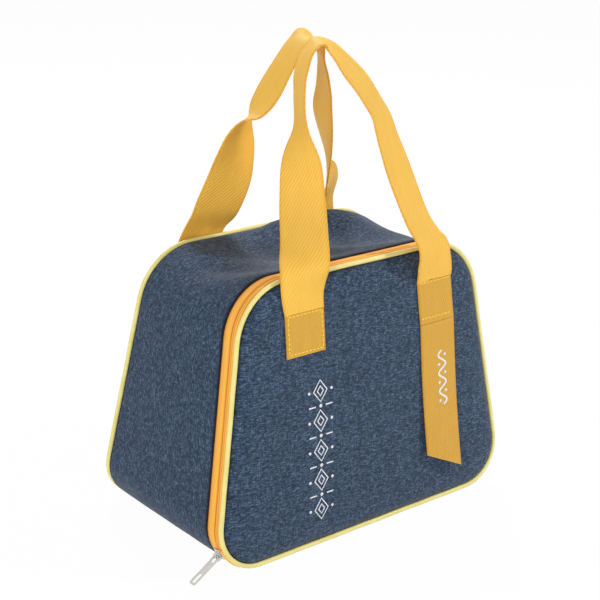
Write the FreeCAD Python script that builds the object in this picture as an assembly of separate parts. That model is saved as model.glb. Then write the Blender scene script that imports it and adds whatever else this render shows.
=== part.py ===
import FreeCAD, Part
import math
import os

from FreeCAD import Placement, Rotation, Vector

# Soft insulated lunch bag: a zip-round front panel that folds down on its bottom seam,
# two webbing carry handles and a hanging tab. Millimetres, +Z up, the front faces -Y,
# and the origin is the middle of the flat base on the surface that the bag stands on.

# Body, measured over the piping
BODY_HEIGHT = 200.0
BASE_WIDTH = 280.4
TOP_WIDTH = 213.4
BASE_DEPTH = 151.0
TOP_DEPTH = 111.5
BASE_CORNER_R = 33.4
TOP_CORNER_R = 45.0

# Layers of the walls
FABRIC_T = 1.0
FOAM_T = 5.0
LINER_T = 0.5
BINDING_T = 0.8
BINDING_WIDTH = 9.0

# Swell of the padded panels, from their seam in to a broad raised middle
CROWN = 5.0
CROWN_INSET = 20.0
SHOULDER_RISE = 3.0
SHOULDER_INSET = 10.0

# Piping in the two panel seams
PIPING_D = 4.4
PIPING_PROUD = 2.0
PIPING_LIFT = 0.4
PANEL_SET_BACK = 1.2

# Zip
ZIP_LINE_DEPTH = 9.4
ZIP_BAND_END = 17.7
ZIP_SET_IN = 0.6
ZIP_TAPE_T = 0.7
ZIP_SPLIT = 0.3
COIL_WIDTH = 1.6
COIL_T = 1.5
COIL_NOTCH = 0.5
COIL_PITCH = 4.0
FLAP_ZIP_ANGLE = 200.0
BASE_SEAM_ANGLE = 243.0
STOP_LENGTH = 2.4
STOP_T = 1.2

# Slider and pull
SLIDER_ANGLE = 210.0
SLIDER_TRAVEL = 39.0
SLIDER_LENGTH = 9.0
SLIDER_NOSE_WIDTH = 8.0
SLIDER_TAIL_WIDTH = 6.6
SLIDER_PLATE_T = 1.1
SLIDER_PLAY = 0.7
SLIDER_LIP = 0.9
POST_WIDTH = 1.2
POST_LENGTH = 2.4
BRIDGE_WIDTH = 1.6
BRIDGE_T = 1.2
BRIDGE_LENGTH = 6.8
BRIDGE_FOOT = 1.2
PULL_LENGTH = 26.4
PULL_WIDTH = 6.0
PULL_T = 1.2
PULL_PLAY = 0.35
PULL_SLOT = 5.6
PULL_WINDOW = 8.0
PULL_RAIL = 1.4
PULL_CORNER_R = 1.4

# Webbing handles and tab
WEBBING_WIDTH = 33.0
WEBBING_T = 1.4
HANDLE_SPACING = 126.0
FRONT_HANDLE_SHIFT = 4.0
HANDLE_RISE = 172.0
HANDLE_GAP = 1.4
HANDLE_DROP = 25.0
SEWN_LENGTH = 32.0
TAB_FOOT = 24.0
TAB_CUT = 16.0

# Clearances
SEAM_GAP = 0.1
CLEARANCE = 0.3
STANDOFF = 0.6

# Carry loops, as they stand when the bag hangs from them. Each free station is its place
# across (share of half the spacing), its rise, its reach towards the middle of the bag
# (both as shares) and the turn of the webbing's width in degrees. The feet pass over the
# top seam, so they have only a place across and a turn.
RIBBON_STEPS = 3
FRONT_FEET = ((-1.0, 0), (-0.98, -10), (-0.88, -22), (0.976, -170), (1.02, -175), (1.0, -180))
FRONT_LOOP = (
    (-0.80, 0.24, 0.12, -36),
    (-0.755, 0.43, 0.455, -58),
    (-0.72, 0.55, 0.566, -76),
    (-0.70, 0.65, 0.675, -104),
    (-0.627, 0.84, 0.848, -114),
    (-0.548, 0.93, 0.935, -108),
    (-0.40, 0.99, 0.99, -102),
    (-0.254, 1.0, 1.0, -98),
    (-0.11, 0.96, 0.964, -100),
    (0.254, 0.82, 0.83, -104),
    (0.397, 0.75, 0.771, -108),
    (0.516, 0.676, 0.70, -122),
    (0.571, 0.606, 0.627, -146),
    (0.635, 0.525, 0.542, -164),
    (0.714, 0.415, 0.42, -170),
    (0.889, 0.234, 0.157, -172),
)
REAR_FEET = ((-1.0, 0), (-1.0, 6), (-0.968, 12), (0.968, -18), (1.0, -8), (1.0, 0))
REAR_LOOP = (
    (-0.865, 0.24, 0.18, 30),
    (-0.746, 0.35, 0.36, 36),
    (-0.69, 0.455, 0.475, 12),
    (-0.667, 0.55, 0.566, -12),
    (-0.571, 0.63, 0.65, -42),
    (-0.476, 0.694, 0.71, -68),
    (-0.30, 0.80, 0.807, -79),
    (-0.175, 0.90, 0.91, -79),
    (-0.032, 0.967, 0.97, -80),
    (0.11, 1.0, 1.0, -84),
    (0.27, 0.955, 0.952, -86),
    (0.365, 0.863, 0.867, -84),
    (0.468, 0.734, 0.747, -80),
    (0.548, 0.63, 0.65, -76),
    (0.70, 0.49, 0.52, -60),
    (0.82, 0.37, 0.38, -46),
    (0.90, 0.26, 0.20, -34),
)

LEAN = math.atan2((BASE_DEPTH - TOP_DEPTH) / 2, BODY_HEIGHT)
SLANT_HEIGHT = BODY_HEIGHT / math.cos(LEAN)
PANEL_EDGE = PIPING_D + SEAM_GAP
SHELL_INSET = PIPING_PROUD + FABRIC_T + FOAM_T + LINER_T
CORE_EDGE = SHELL_INSET + CLEARANCE
PANEL_BACK = PANEL_SET_BACK + FABRIC_T
CROWN_FACE = PANEL_SET_BACK - CROWN
LINER_FACE = PANEL_BACK + FOAM_T + LINER_T
SIDE_START = ZIP_BAND_END + CLEARANCE
BASE_FRONT = PIPING_D + CLEARANCE
ZIP_INSET = PIPING_PROUD + ZIP_SET_IN
COIL_INSET = ZIP_INSET + ZIP_TAPE_T + SEAM_GAP
ZIP_RISE = ZIP_LINE_DEPTH * math.tan(LEAN)
ZIP_SEAM_ANGLE = BASE_SEAM_ANGLE - math.degrees(3 * CLEARANCE / BASE_CORNER_R)
FLAP_ZIP_EDGE = ZIP_LINE_DEPTH - ZIP_SPLIT / 2
BODY_ZIP_EDGE = ZIP_LINE_DEPTH + ZIP_SPLIT / 2
SLIDER_HALF_ANGLE = math.degrees(SLIDER_LENGTH / 2 / (BASE_CORNER_R - ZIP_INSET))
STOP_ANGLE = SLIDER_ANGLE + SLIDER_HALF_ANGLE + math.degrees(2 * SLIDER_PLAY / BASE_CORNER_R)
PULL_ROOM = PULL_T * math.sqrt(2) + 2 * PULL_PLAY
PULL_AXIS = SLIDER_PLAY + SLIDER_PLATE_T + PULL_ROOM / 2
SEWN_HIGH = SLANT_HEIGHT - HANDLE_DROP
SEWN_LOW = SEWN_HIGH - SEWN_LENGTH


def at(centre, radius, angle):
    """Point in X and Z at an angle in degrees round a centre."""
    turn = math.radians(angle)
    return Vector(centre.x + radius * math.cos(turn), 0, centre.z + radius * math.sin(turn))


class Outline:
    """Rounded trapezium in X and Z: narrow at the top, with two corner radii."""

    def __init__(self, height, inset, floor):
        slope = (BASE_WIDTH - TOP_WIDTH) / 2 / height
        self.flare = math.degrees(math.atan(slope))
        self.base_r = BASE_CORNER_R - inset
        self.top_r = TOP_CORNER_R - inset
        self.base_centre = self.corner(slope, floor + self.base_r, BASE_CORNER_R)
        self.top_centre = self.corner(slope, height - inset - self.top_r, TOP_CORNER_R)

    def corner(self, slope, level, reach):
        side = BASE_WIDTH / 2 - level * slope
        return Vector(side - reach / math.cos(math.radians(self.flare)), 0, level)

    def left(self, centre):
        return Vector(-centre.x, 0, centre.z)

    def legs(self, end_angle):
        """Arcs and lines from the left foot, over the top, to the right foot."""
        base, top = self.base_centre, self.top_centre
        side = 180 - self.flare
        return [
            (self.left(base), self.base_r, end_angle, side),
            (self.left(top), self.top_r, side, 90),
            (top, self.top_r, 90, self.flare),
            (base, self.base_r, self.flare, 180 - end_angle),
        ]

    def run(self, end_angle):
        """Edges of those arcs and lines, in order."""
        edges = []
        last = None
        for centre, radius, start, stop in self.legs(end_angle):
            first = at(centre, radius, start)
            if last is not None:
                edges.append(Part.LineSegment(last, first).toShape())
            last = at(centre, radius, stop)
            middle = at(centre, radius, (start + stop) / 2)
            edges.append(Part.Arc(first, middle, last).toShape())
        return edges

    def foot(self, end_angle):
        """Edges of the base strip, from the left seam to the right one."""
        left = self.left(self.base_centre)
        edges = []
        last = None
        for centre, start, stop in ((left, end_angle, 270), (self.base_centre, 270, 540 - end_angle)):
            first = at(centre, self.base_r, start)
            if last is not None:
                edges.append(Part.LineSegment(last, first).toShape())
            last = at(centre, self.base_r, stop)
            middle = at(centre, self.base_r, (start + stop) / 2)
            edges.append(Part.Arc(first, middle, last).toShape())
        return edges

    def closed(self):
        """Wire right round the outline."""
        left = at(self.left(self.base_centre), self.base_r, 270)
        right = at(self.base_centre, self.base_r, 270)
        edges = self.run(270) + [Part.LineSegment(right, left).toShape()]
        return Part.Wire(Part.__sortEdges__(edges))


def panel_outline(inset):
    """Outline in the plane of a leaning panel, inset from the piping's outer edge."""
    return Outline(SLANT_HEIGHT, inset, PIPING_LIFT + inset)


def gusset_outline(depth):
    """Outline of the side walls, a depth inside the outer face of their fabric."""
    return Outline(BODY_HEIGHT, PIPING_PROUD + depth, depth)


def zip_outline(inset):
    """Outline of the zip band, flush with the side walls along the zip line."""
    return Outline(SLANT_HEIGHT, inset, inset - PIPING_PROUD)


def strip(outer, inner):
    """Face between two chains of edges that run side by side."""
    caps = [
        Part.LineSegment(outer[0].Vertexes[0].Point, inner[0].Vertexes[0].Point).toShape(),
        Part.LineSegment(outer[-1].Vertexes[-1].Point, inner[-1].Vertexes[-1].Point).toShape(),
    ]
    return Part.Face(Part.Wire(Part.__sortEdges__(outer + inner + caps)))


def deepen(face, near, far):
    """Solid from a face in X and Z, between two depths along Y."""
    moved = face.translated(Vector(0, near, 0))
    return moved.extrude(Vector(0, far - near, 0))


def front_place(shape, rise=0.0):
    """Stand a shape drawn in a panel's own plane on the leaning front."""
    moved = shape.translated(Vector(0, 0, rise))
    moved.Placement = Placement(
        Vector(0, -BASE_DEPTH / 2, 0), Rotation(Vector(1, 0, 0), -math.degrees(LEAN))
    ).multiply(moved.Placement)
    return moved


def rear_place(shape):
    """Stand a shape drawn in a panel's own plane on the leaning rear."""
    return front_place(shape).mirror(Vector(0, 0, 0), Vector(0, 1, 0))


def front_point(x, depth, rise):
    """Point given in the front panel's own plane."""
    return Vector(
        x,
        rise * math.sin(LEAN) + depth * math.cos(LEAN) - BASE_DEPTH / 2,
        rise * math.cos(LEAN) - depth * math.sin(LEAN),
    )


def between(front, rear):
    """Block between a plane behind the front panel and one before the rear panel."""
    low, high = -BODY_HEIGHT / 4, BODY_HEIGHT * 5 / 4
    corners = []
    for level in (low, high):
        corners.append(Vector(-BASE_WIDTH, front(level), level))
    for level in (high, low):
        corners.append(Vector(-BASE_WIDTH, rear(level), level))
    wire = Part.makePolygon(corners + corners[:1])
    return Part.Face(wire).extrude(Vector(2 * BASE_WIDTH, 0, 0))


def front_plane(depth):
    """Level to Y for the plane a depth behind the front."""
    return lambda level: level * math.tan(LEAN) + depth / math.cos(LEAN) - BASE_DEPTH / 2


def rear_plane(depth):
    """Level to Y for the plane a depth before the rear."""
    return lambda level: -front_plane(depth)(level)


def side_layer(near, far, front, rear):
    """Layer of the left, top and right wall, in one strip."""
    face = strip(gusset_outline(near).run(BASE_SEAM_ANGLE), gusset_outline(far).run(BASE_SEAM_ANGLE))
    return deepen(face, -BASE_DEPTH, BASE_DEPTH).common(between(front, rear))


def base_layer(near, far, front, rear):
    """Layer of the base strip."""
    face = strip(gusset_outline(near).foot(BASE_SEAM_ANGLE), gusset_outline(far).foot(BASE_SEAM_ANGLE))
    return deepen(face, -BASE_DEPTH, BASE_DEPTH).common(between(front, rear))


def wall_layers(layer, front):
    """Fabric, foam and liner of a wall."""
    rear = rear_plane(PANEL_EDGE)
    foam = FABRIC_T + FOAM_T
    return {
        "fabric": layer(0, FABRIC_T, front_plane(front), rear),
        "foam": layer(FABRIC_T, foam, front_plane(front), rear),
        "liner": layer(foam, foam + LINER_T, front_plane(front), rear),
    }


def gusset():
    """Left, top and right wall, with the bound edge round the opening."""
    layers = wall_layers(side_layer, SIDE_START + BINDING_T)
    fabric = side_layer(0, FABRIC_T, front_plane(SIDE_START), rear_plane(PANEL_EDGE))
    inner = FABRIC_T + FOAM_T + LINER_T
    edge = side_layer(FABRIC_T, inner, front_plane(SIDE_START), front_plane(SIDE_START + BINDING_T))
    turned = side_layer(
        inner, inner + BINDING_T, front_plane(SIDE_START), front_plane(SIDE_START + BINDING_WIDTH)
    )
    return {
        "gusset_fabric": fabric,
        "gusset_foam": layers["foam"],
        "gusset_liner": layers["liner"],
        "opening_binding": edge.fuse(turned).removeSplitter(),
    }


def base():
    """Base strip that the bag stands on."""
    layers = wall_layers(base_layer, BASE_FRONT)
    return {"base_" + name: shape for name, shape in layers.items()}


def piping():
    """Round bead along a panel's seam, in the panel's plane."""
    path = panel_outline(PIPING_D / 2).closed().translated(Vector(0, PIPING_D / 2, 0))
    start = path.Edges[0]
    profile = Part.Wire(
        Part.makeCircle(PIPING_D / 2, start.valueAt(start.FirstParameter), start.tangentAt(start.FirstParameter))
    )
    return Part.Wire(path).makePipeShell([profile], True, False)


def swollen(face, back):
    """Block as wide as the panel's fabric, flat at the back and swelling towards its middle."""
    rings = ((PANEL_EDGE, face), (SHOULDER_INSET, face - SHOULDER_RISE), (CROWN_INSET, face - CROWN))
    wires = [panel_outline(inset).closed().translated(Vector(0, depth, 0)) for inset, depth in rings]
    flat = deepen(Part.Face(panel_outline(PANEL_EDGE).closed()), face, back)
    return flat.fuse(Part.makeLoft(wires, True, True)).removeSplitter()


def panel():
    """Fabric, foam, liner, binding and piping of one panel, in the panel's plane."""
    core = Part.Face(panel_outline(CORE_EDGE).closed())
    inner = Part.Face(panel_outline(CORE_EDGE + BINDING_WIDTH).closed())
    stuffed = swollen(PANEL_BACK, PANEL_BACK + FOAM_T)
    return {
        "fabric": swollen(PANEL_SET_BACK, PANEL_BACK).cut(stuffed),
        "foam": deepen(core, CROWN_FACE, PANEL_BACK + FOAM_T).common(stuffed),
        "liner": deepen(core, PANEL_BACK + FOAM_T, LINER_FACE),
        "binding": deepen(core.cut(inner), LINER_FACE, LINER_FACE + BINDING_T),
        "piping": piping(),
    }


def panels():
    """Front panel, which opens, and rear panel."""
    nodes = {}
    for side, place in (("front", front_place), ("rear", rear_place)):
        for name, shape in panel().items():
            joined = name in ("piping", "binding")
            nodes[side + ("_" if joined else "_panel_") + name] = place(shape)
    return nodes


def zip_band(end_angle, near, far):
    """Strip of zip tape in the panel's plane."""
    outer = zip_outline(ZIP_INSET).run(end_angle)
    inner = zip_outline(ZIP_INSET + ZIP_TAPE_T).run(end_angle)
    return deepen(strip(outer, inner), near, far)


def track_spots(outline, end_angle, pitch):
    """Spots half a pitch apart along a run: each a point and its outward direction."""
    spots = []
    arcs = outline.legs(end_angle)
    middle = Vector(0, 0, 0)
    for index, (centre, radius, start, stop) in enumerate(arcs):
        halves = 2 * max(1, round(radius * math.radians(abs(stop - start)) / pitch))
        for step in range(halves):
            angle = start + (stop - start) * step / halves
            spots.append((at(centre, radius, angle), at(middle, 1, angle)))
        if index + 1 == len(arcs):
            spots.append((at(centre, radius, stop), at(middle, 1, stop)))
            continue
        first = at(centre, radius, stop)
        line = at(arcs[index + 1][0], arcs[index + 1][1], stop) - first
        halves = 2 * max(1, round(line.Length / pitch))
        for step in range(halves):
            spots.append((first + line * (step / halves), at(middle, 1, stop)))
    return spots


def coil(end_angle, near, far):
    """Ribbed coil strip with a tooth and a notch in every pitch."""
    spots = track_spots(zip_outline(COIL_INSET), end_angle, COIL_PITCH)
    back = [point for point, outward in spots]
    teeth = []
    for index in range(len(spots) - 1):
        depth = COIL_T if index % 2 == 0 else COIL_T - COIL_NOTCH
        for point, outward in spots[index:index + 2]:
            teeth.append(point - outward * depth)
    loop = back + teeth[::-1]
    return deepen(Part.Face(Part.makePolygon(loop + loop[:1])), near, far)


def corner_sector(near_inset, far_inset, start, stop, near, far):
    """Block on the left corner of the zip band, between two angles."""
    edges = []
    for inset in (near_inset, far_inset):
        outline = zip_outline(inset)
        centre = outline.left(outline.base_centre)
        ends = [at(centre, outline.base_r, angle) for angle in (start, (start + stop) / 2, stop)]
        edges.append([Part.Arc(*ends).toShape()])
    return deepen(strip(*edges), near, far)


def post_slot():
    """Room that the slider's post sweeps between the tapes."""
    margin = math.degrees(CLEARANCE / (BASE_CORNER_R - COIL_INSET - COIL_T))
    start = SLIDER_ANGLE - SLIDER_TRAVEL + math.degrees((SLIDER_LENGTH / 2 - POST_LENGTH) / BASE_CORNER_R)
    stop = SLIDER_ANGLE + SLIDER_HALF_ANGLE
    half = POST_WIDTH / 2 + CLEARANCE
    return corner_sector(
        PIPING_PROUD - PIPING_D, COIL_INSET + 2 * COIL_T, start - margin, stop + margin,
        ZIP_LINE_DEPTH - half, ZIP_LINE_DEPTH + half,
    )


def mirrored(shape):
    """The same piece on the other side of the bag."""
    return shape.mirror(Vector(0, 0, 0), Vector(1, 0, 0))


def zip_fastener():
    """Two tapes with their coils, the tape ends caught in the base seam, and the stops."""
    slot = post_slot()
    coil_angle = SLIDER_ANGLE + SLIDER_HALF_ANGLE
    tape_inner = ZIP_INSET + ZIP_TAPE_T
    end_start = FLAP_ZIP_ANGLE + math.degrees(2 * CLEARANCE / (BASE_CORNER_R - tape_inner))
    tape_end = corner_sector(ZIP_INSET, tape_inner, end_start, ZIP_SEAM_ANGLE, BASE_FRONT, FLAP_ZIP_EDGE)
    stop_span = math.degrees(STOP_LENGTH / (BASE_CORNER_R - tape_inner))
    stop = corner_sector(
        tape_inner, tape_inner + STOP_T, STOP_ANGLE, STOP_ANGLE + stop_span,
        FLAP_ZIP_EDGE - COIL_WIDTH, BODY_ZIP_EDGE + COIL_WIDTH,
    )
    flap_coil = coil(FLAP_ZIP_ANGLE, FLAP_ZIP_EDGE - COIL_WIDTH, FLAP_ZIP_EDGE)
    body_coil = coil(coil_angle, BODY_ZIP_EDGE, BODY_ZIP_EDGE + COIL_WIDTH)
    nodes = {
        "flap_zip_tape": zip_band(FLAP_ZIP_ANGLE, PANEL_EDGE, FLAP_ZIP_EDGE).cut(slot),
        "flap_zip_coil": flap_coil.cut(slot),
        "body_zip_tape": zip_band(ZIP_SEAM_ANGLE, BODY_ZIP_EDGE, ZIP_BAND_END).cut(slot),
        "body_zip_coil": body_coil.cut(slot),
        "zip_tape_end_left": tape_end.cut(slot),
        "zip_tape_end_right": mirrored(tape_end),
        "zip_stop_left": stop,
        "zip_stop_right": mirrored(stop),
    }
    return {name: front_place(shape, ZIP_RISE) for name, shape in nodes.items()}


def slider_place(shape):
    """Set a piece drawn on the X axis, outward from the tape, on the left corner of the zip."""
    outline = zip_outline(ZIP_INSET)
    moved = shape.translated(Vector(outline.base_r, ZIP_LINE_DEPTH, 0))
    moved.rotate(Vector(0, 0, 0), Vector(0, 1, 0), -SLIDER_ANGLE)
    return front_place(moved.translated(outline.left(outline.base_centre)), ZIP_RISE)


def block(x0, x1, half_y, z0, z1, y=0.0):
    """Box between two X and two Z values, centred on a Y value."""
    return Part.makeBox(x1 - x0, 2 * half_y, z1 - z0, Vector(x0, y - half_y, z0))


def slider_plate(low, high):
    """Plate of the slider: wide at the nose, drawn in at the tail."""
    half, nose, tail = SLIDER_LENGTH / 2, SLIDER_NOSE_WIDTH / 2, SLIDER_TAIL_WIDTH / 2
    right = [(tail, -half), (nose, 0), (nose, half - POST_WIDTH), (nose - POST_WIDTH, half)]
    ring = [Vector(low, y, z) for y, z in right] + [Vector(low, -y, z) for y, z in right[::-1]]
    return Part.Face(Part.makePolygon(ring + ring[:1])).extrude(Vector(high - low, 0, 0))


def zip_slider():
    """Slider body: two plates on a post, guide lips for the coil, and the bridge for the pull."""
    half = SLIDER_LENGTH / 2
    inside = -(ZIP_TAPE_T + SEAM_GAP + COIL_T + SLIDER_PLAY)
    outside = SLIDER_PLAY + SLIDER_PLATE_T
    under = outside + PULL_ROOM
    pieces = [slider_plate(inside - SLIDER_PLATE_T, inside)]
    pieces.append(block(inside, SLIDER_PLAY, POST_WIDTH / 2, half - POST_LENGTH, half))
    for side in (-1, 1):
        middle = side * (SLIDER_TAIL_WIDTH - SLIDER_LIP) / 2
        pieces.append(block(inside, -ZIP_TAPE_T - SLIDER_PLAY, SLIDER_LIP / 2, -half, half - POST_LENGTH, middle))
        outer = side * (BRIDGE_LENGTH - BRIDGE_FOOT) / 2
        pieces.append(block(
            outside, under, BRIDGE_WIDTH / 2, outer - BRIDGE_FOOT / 2, outer + BRIDGE_FOOT / 2
        ))
    pieces.append(block(under, under + BRIDGE_T, BRIDGE_WIDTH / 2, -BRIDGE_LENGTH / 2, BRIDGE_LENGTH / 2))
    body = slider_plate(SLIDER_PLAY, outside).fuse(pieces).removeSplitter()
    return {"zip_slider": slider_place(body)}


def zip_pull():
    """Flat pull: a slot that loops under the bridge, a plain middle and a window at the end."""
    start = -PULL_T / 2
    body = block(start, PULL_LENGTH, PULL_WIDTH / 2, -PULL_T / 2, PULL_T / 2)
    far_corners = [
        edge for edge in body.Edges
        if edge.BoundBox.XMin > PULL_LENGTH - PULL_T and edge.BoundBox.ZLength > PULL_T / 2
    ]
    body = body.makeFillet(PULL_CORNER_R, far_corners)
    clear = PULL_WIDTH / 2 - PULL_RAIL
    window_end = PULL_LENGTH - PULL_RAIL
    for low, high in ((PULL_T / 2, PULL_T / 2 + PULL_SLOT), (window_end - PULL_WINDOW, window_end)):
        body = body.cut(block(low, high, clear, -PULL_T, PULL_T))
    return {"zip_pull": slider_place(body.translated(Vector(PULL_AXIS, 0, 0)))}


def sewn_ends():
    """Ends of the handles, sewn flat on the two panels."""
    nodes = {}
    shifts = (("front", FRONT_HANDLE_SHIFT, front_place), ("rear", 0.0, rear_place))
    for name, shift, place in shifts:
        for side, sign in (("left", -1), ("right", 1)):
            low = shift + sign * HANDLE_SPACING / 2 - WEBBING_WIDTH / 2
            corner = Vector(low, CROWN_FACE - WEBBING_T, SEWN_LOW)
            patch = Part.makeBox(WEBBING_WIDTH, WEBBING_T, SEWN_LENGTH, corner)
            nodes["%s_handle_%s_end" % (name, side)] = place(patch)
    return nodes


def stations(feet, loop, shift):
    """Centre points and turns of a carry loop, drawn on the front of the bag."""
    levels = (SEWN_HIGH + CLEARANCE, (SEWN_HIGH + SLANT_HEIGHT) / 2, SLANT_HEIGHT + PIPING_D)
    faces = (CROWN_FACE, PANEL_SET_BACK - (SHOULDER_RISE + CROWN) / 2, 0.0)
    half = HANDLE_SPACING / 2
    found = []
    for level, face, (across, turn) in zip(levels + levels[::-1], faces + faces[::-1], feet):
        tilted = WEBBING_WIDTH / 2 * abs(math.sin(math.radians(turn)))
        depth = face - tilted - WEBBING_T / 2 - STANDOFF
        found.append((front_point(shift + across * half, depth, level), turn))
    foot = front_point(0, 0, SEWN_HIGH)
    reach = -foot.y - (WEBBING_WIDTH + HANDLE_GAP) / 2
    free = []
    for across, rise, inward, turn in loop:
        point = Vector(shift + across * half, foot.y + inward * reach, foot.z + rise * HANDLE_RISE)
        free.append((point, turn))
    return found[:3] + free + found[3:]


def smooth(points):
    """Stations on a smooth curve through the given ones."""
    values = [(point.x, point.y, point.z, turn) for point, turn in points]
    padded = [values[0]] + values + [values[-1]]
    curve = []
    for index in range(len(values) - 1):
        before, first, last, after = padded[index:index + 4]
        for step in range(RIBBON_STEPS):
            t = step / RIBBON_STEPS
            curve.append([
                0.5 * (2 * b + (c - a) * t + (2 * a - 5 * b + 4 * c - d) * t ** 2
                       + (3 * b - a - 3 * c + d) * t ** 3)
                for a, b, c, d in zip(before, first, last, after)
            ])
    curve.append(list(values[-1]))
    return curve


def ribbon(points):
    """Flat webbing lofted along its stations."""
    curve = smooth(points)
    centres = [Vector(*station[:3]) for station in curve]
    sections = []
    upward = front_point(0, 0, 1) - front_point(0, 0, 0)
    for index, (centre, station) in enumerate(zip(centres, curve)):
        if index == 0:
            along = Vector(upward)
        elif index == len(centres) - 1:
            along = -upward
        else:
            along = centres[index + 1] - centres[index - 1]
        along.normalize()
        turn = math.radians(station[3])
        across = Vector(math.cos(turn), math.sin(turn), 0)
        across = across - along * across.dot(along)
        across.normalize()
        face = along.cross(across)
        corners = [
            centre + across * (a * WEBBING_WIDTH / 2) + face * (f * WEBBING_T / 2)
            for a, f in ((-1, -1), (1, -1), (1, 1), (-1, 1))
        ]
        sections.append(Part.makePolygon(corners + corners[:1]))
    return Part.makeLoft(sections, True, True)


def handles():
    """The two carry loops above their sewn ends."""
    front = ribbon(stations(FRONT_FEET, FRONT_LOOP, FRONT_HANDLE_SHIFT))
    rear = ribbon(stations(REAR_FEET, REAR_LOOP, 0.0))
    return {"front_handle": front, "rear_handle": rear.mirror(Vector(0, 0, 0), Vector(0, 1, 0))}


def hanging_tab():
    """Tail of the webbing that hangs below the right end of the front handle."""
    middle = FRONT_HANDLE_SHIFT + HANDLE_SPACING / 2
    left, right = middle - WEBBING_WIDTH / 2, middle + WEBBING_WIDTH / 2
    top = SEWN_LOW - CLEARANCE
    outer = CROWN_FACE - CLEARANCE - WEBBING_T
    ring = [
        Vector(left, 0, top), Vector(right, 0, top),
        Vector(right, 0, TAB_FOOT), Vector(left, 0, TAB_FOOT + TAB_CUT),
    ]
    face = Part.Face(Part.makePolygon(ring + ring[:1]))
    return {"hanging_tab": front_place(deepen(face, outer, outer + WEBBING_T))}


def main():
    os.makedirs("parts", exist_ok=True)
    for make in (gusset, base, panels, zip_fastener, zip_slider, zip_pull, sewn_ends, handles, hanging_tab):
        for name, shape in make().items():
            shape.exportStep("parts/%s.step" % name)


main()
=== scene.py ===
"""Dressed scene of a soft insulated lunch bag with a zip-round front, two webbing handles and a tab."""
import logging
import math
from dataclasses import dataclass
from enum import Enum
from typing import Callable, Iterable, Sequence

import bmesh
import bpy
from bmesh.types import BMEdge, BMesh, BMFace, BMVert
from bpy.types import Material, Node, NodeSocket as Socket, NodeTree as Tree
from mathutils import Matrix, Vector, noise


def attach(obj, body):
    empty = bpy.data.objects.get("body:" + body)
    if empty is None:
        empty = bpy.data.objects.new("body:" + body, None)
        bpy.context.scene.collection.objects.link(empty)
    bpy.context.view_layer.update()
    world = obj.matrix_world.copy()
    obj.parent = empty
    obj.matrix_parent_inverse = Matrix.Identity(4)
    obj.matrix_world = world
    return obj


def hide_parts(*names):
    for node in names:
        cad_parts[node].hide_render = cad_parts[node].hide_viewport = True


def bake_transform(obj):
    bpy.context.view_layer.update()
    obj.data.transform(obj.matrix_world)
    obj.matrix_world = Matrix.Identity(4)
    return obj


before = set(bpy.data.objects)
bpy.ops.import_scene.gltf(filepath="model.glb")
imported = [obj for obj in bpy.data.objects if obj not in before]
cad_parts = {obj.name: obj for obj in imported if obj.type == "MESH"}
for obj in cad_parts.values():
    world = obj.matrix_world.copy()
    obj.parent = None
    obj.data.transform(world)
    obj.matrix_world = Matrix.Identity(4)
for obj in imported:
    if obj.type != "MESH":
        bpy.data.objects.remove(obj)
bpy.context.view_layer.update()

logging.basicConfig(level=logging.INFO, format="%(message)s")
LOG = logging.getLogger("lunch_bag")

MM = 0.001

# Sizes in millimetres and angles in degrees, as in the part's source
HEIGHT = 200.0
BASE_WIDTH = 280.4
TOP_WIDTH = 213.4
BASE_DEPTH = 151.0
TOP_DEPTH = 111.5
BASE_CORNER_R = 33.4
TOP_CORNER_R = 45.0
PIPING_D = 4.4
PIPING_PROUD = 2.0
PIPING_LIFT = 0.4
PANEL_FACE = 1.2
FABRIC_T = 1.0
FOAM_T = 5.0
LINER_T = 0.5
CORE_INSET = 8.8
ZIP_LINE = 9.4
SIDE_START = 18.0
ZIP_INSET = 2.6
FLAP_ZIP_ANGLE = 200.0
SEAM_ANGLE = 243.0
SLIDER_ANGLE = 210.0
WEB_T = 1.4
HANDLE_RISE = 172.0
HANDLE_GAP = 1.4
SEWN_LOW = 143.97
SEWN_HIGH = 175.97
LOOP_FOOT = 177.4

# Sizes that are drawn closer to the photograph than the solids are
BEAD_R = 1.7
BEAD_SET = 2.0
CLOTH_EDGE = 3.5
WEB_WIDTH = 34.0
HANDLE_SPACING = 122.0
FRONT_SHIFT = 2.5
LEFT_LOW = 146.0
PATCH_DRIFT = 2.0

LEAN = math.atan2((BASE_DEPTH - TOP_DEPTH) / 2, HEIGHT)
SLANT = HEIGHT / math.cos(LEAN)
ZIP_RISE = ZIP_LINE * math.tan(LEAN)
CLOTH = "cloth"
LAYER_GAP = 0.05
INK_T = 0.08
STITCH_FILL = 0.4
STITCH_RADII = (0.4, 0.5)
STITCH_LIFT = 0.1
GLOW_DEPTH = 2.0
GLOW_SHARES = (1.0, 0.45, 0.08)


class Side(Enum):
    """The two big panels of the bag."""

    FRONT = 1
    REAR = -1

    @property
    def matrix(self) -> Matrix:
        """From a panel's own plane (x, depth, rise) to the shared frame, in millimetres."""
        lean = Matrix.Translation((0, -BASE_DEPTH / 2, 0)) @ Matrix.Rotation(-LEAN, 4, "X")
        return lean if self is Side.FRONT else Matrix.Diagonal((1, -1, 1, 1)) @ lean

    @property
    def body(self) -> str:
        """Body that the panel moves with."""
        return "flap" if self is Side.FRONT else "bag"

    @property
    def word(self) -> str:
        """Word that starts the names of its pieces."""
        return self.name.lower()


def linear(code: str) -> tuple[float, float, float, float]:
    """Turn an sRGB hex colour to linear RGBA.

    Args:
        code: Colour as #RRGGBB.

    Returns:
        Linear red, green, blue and an alpha of 1.
    """
    values = []
    for place in (1, 3, 5):
        part = int(code[place:place + 2], 16) / 255
        values.append(part / 12.92 if part <= 0.04045 else ((part + 0.055) / 1.055) ** 2.4)
    return (values[0], values[1], values[2], 1.0)


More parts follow.
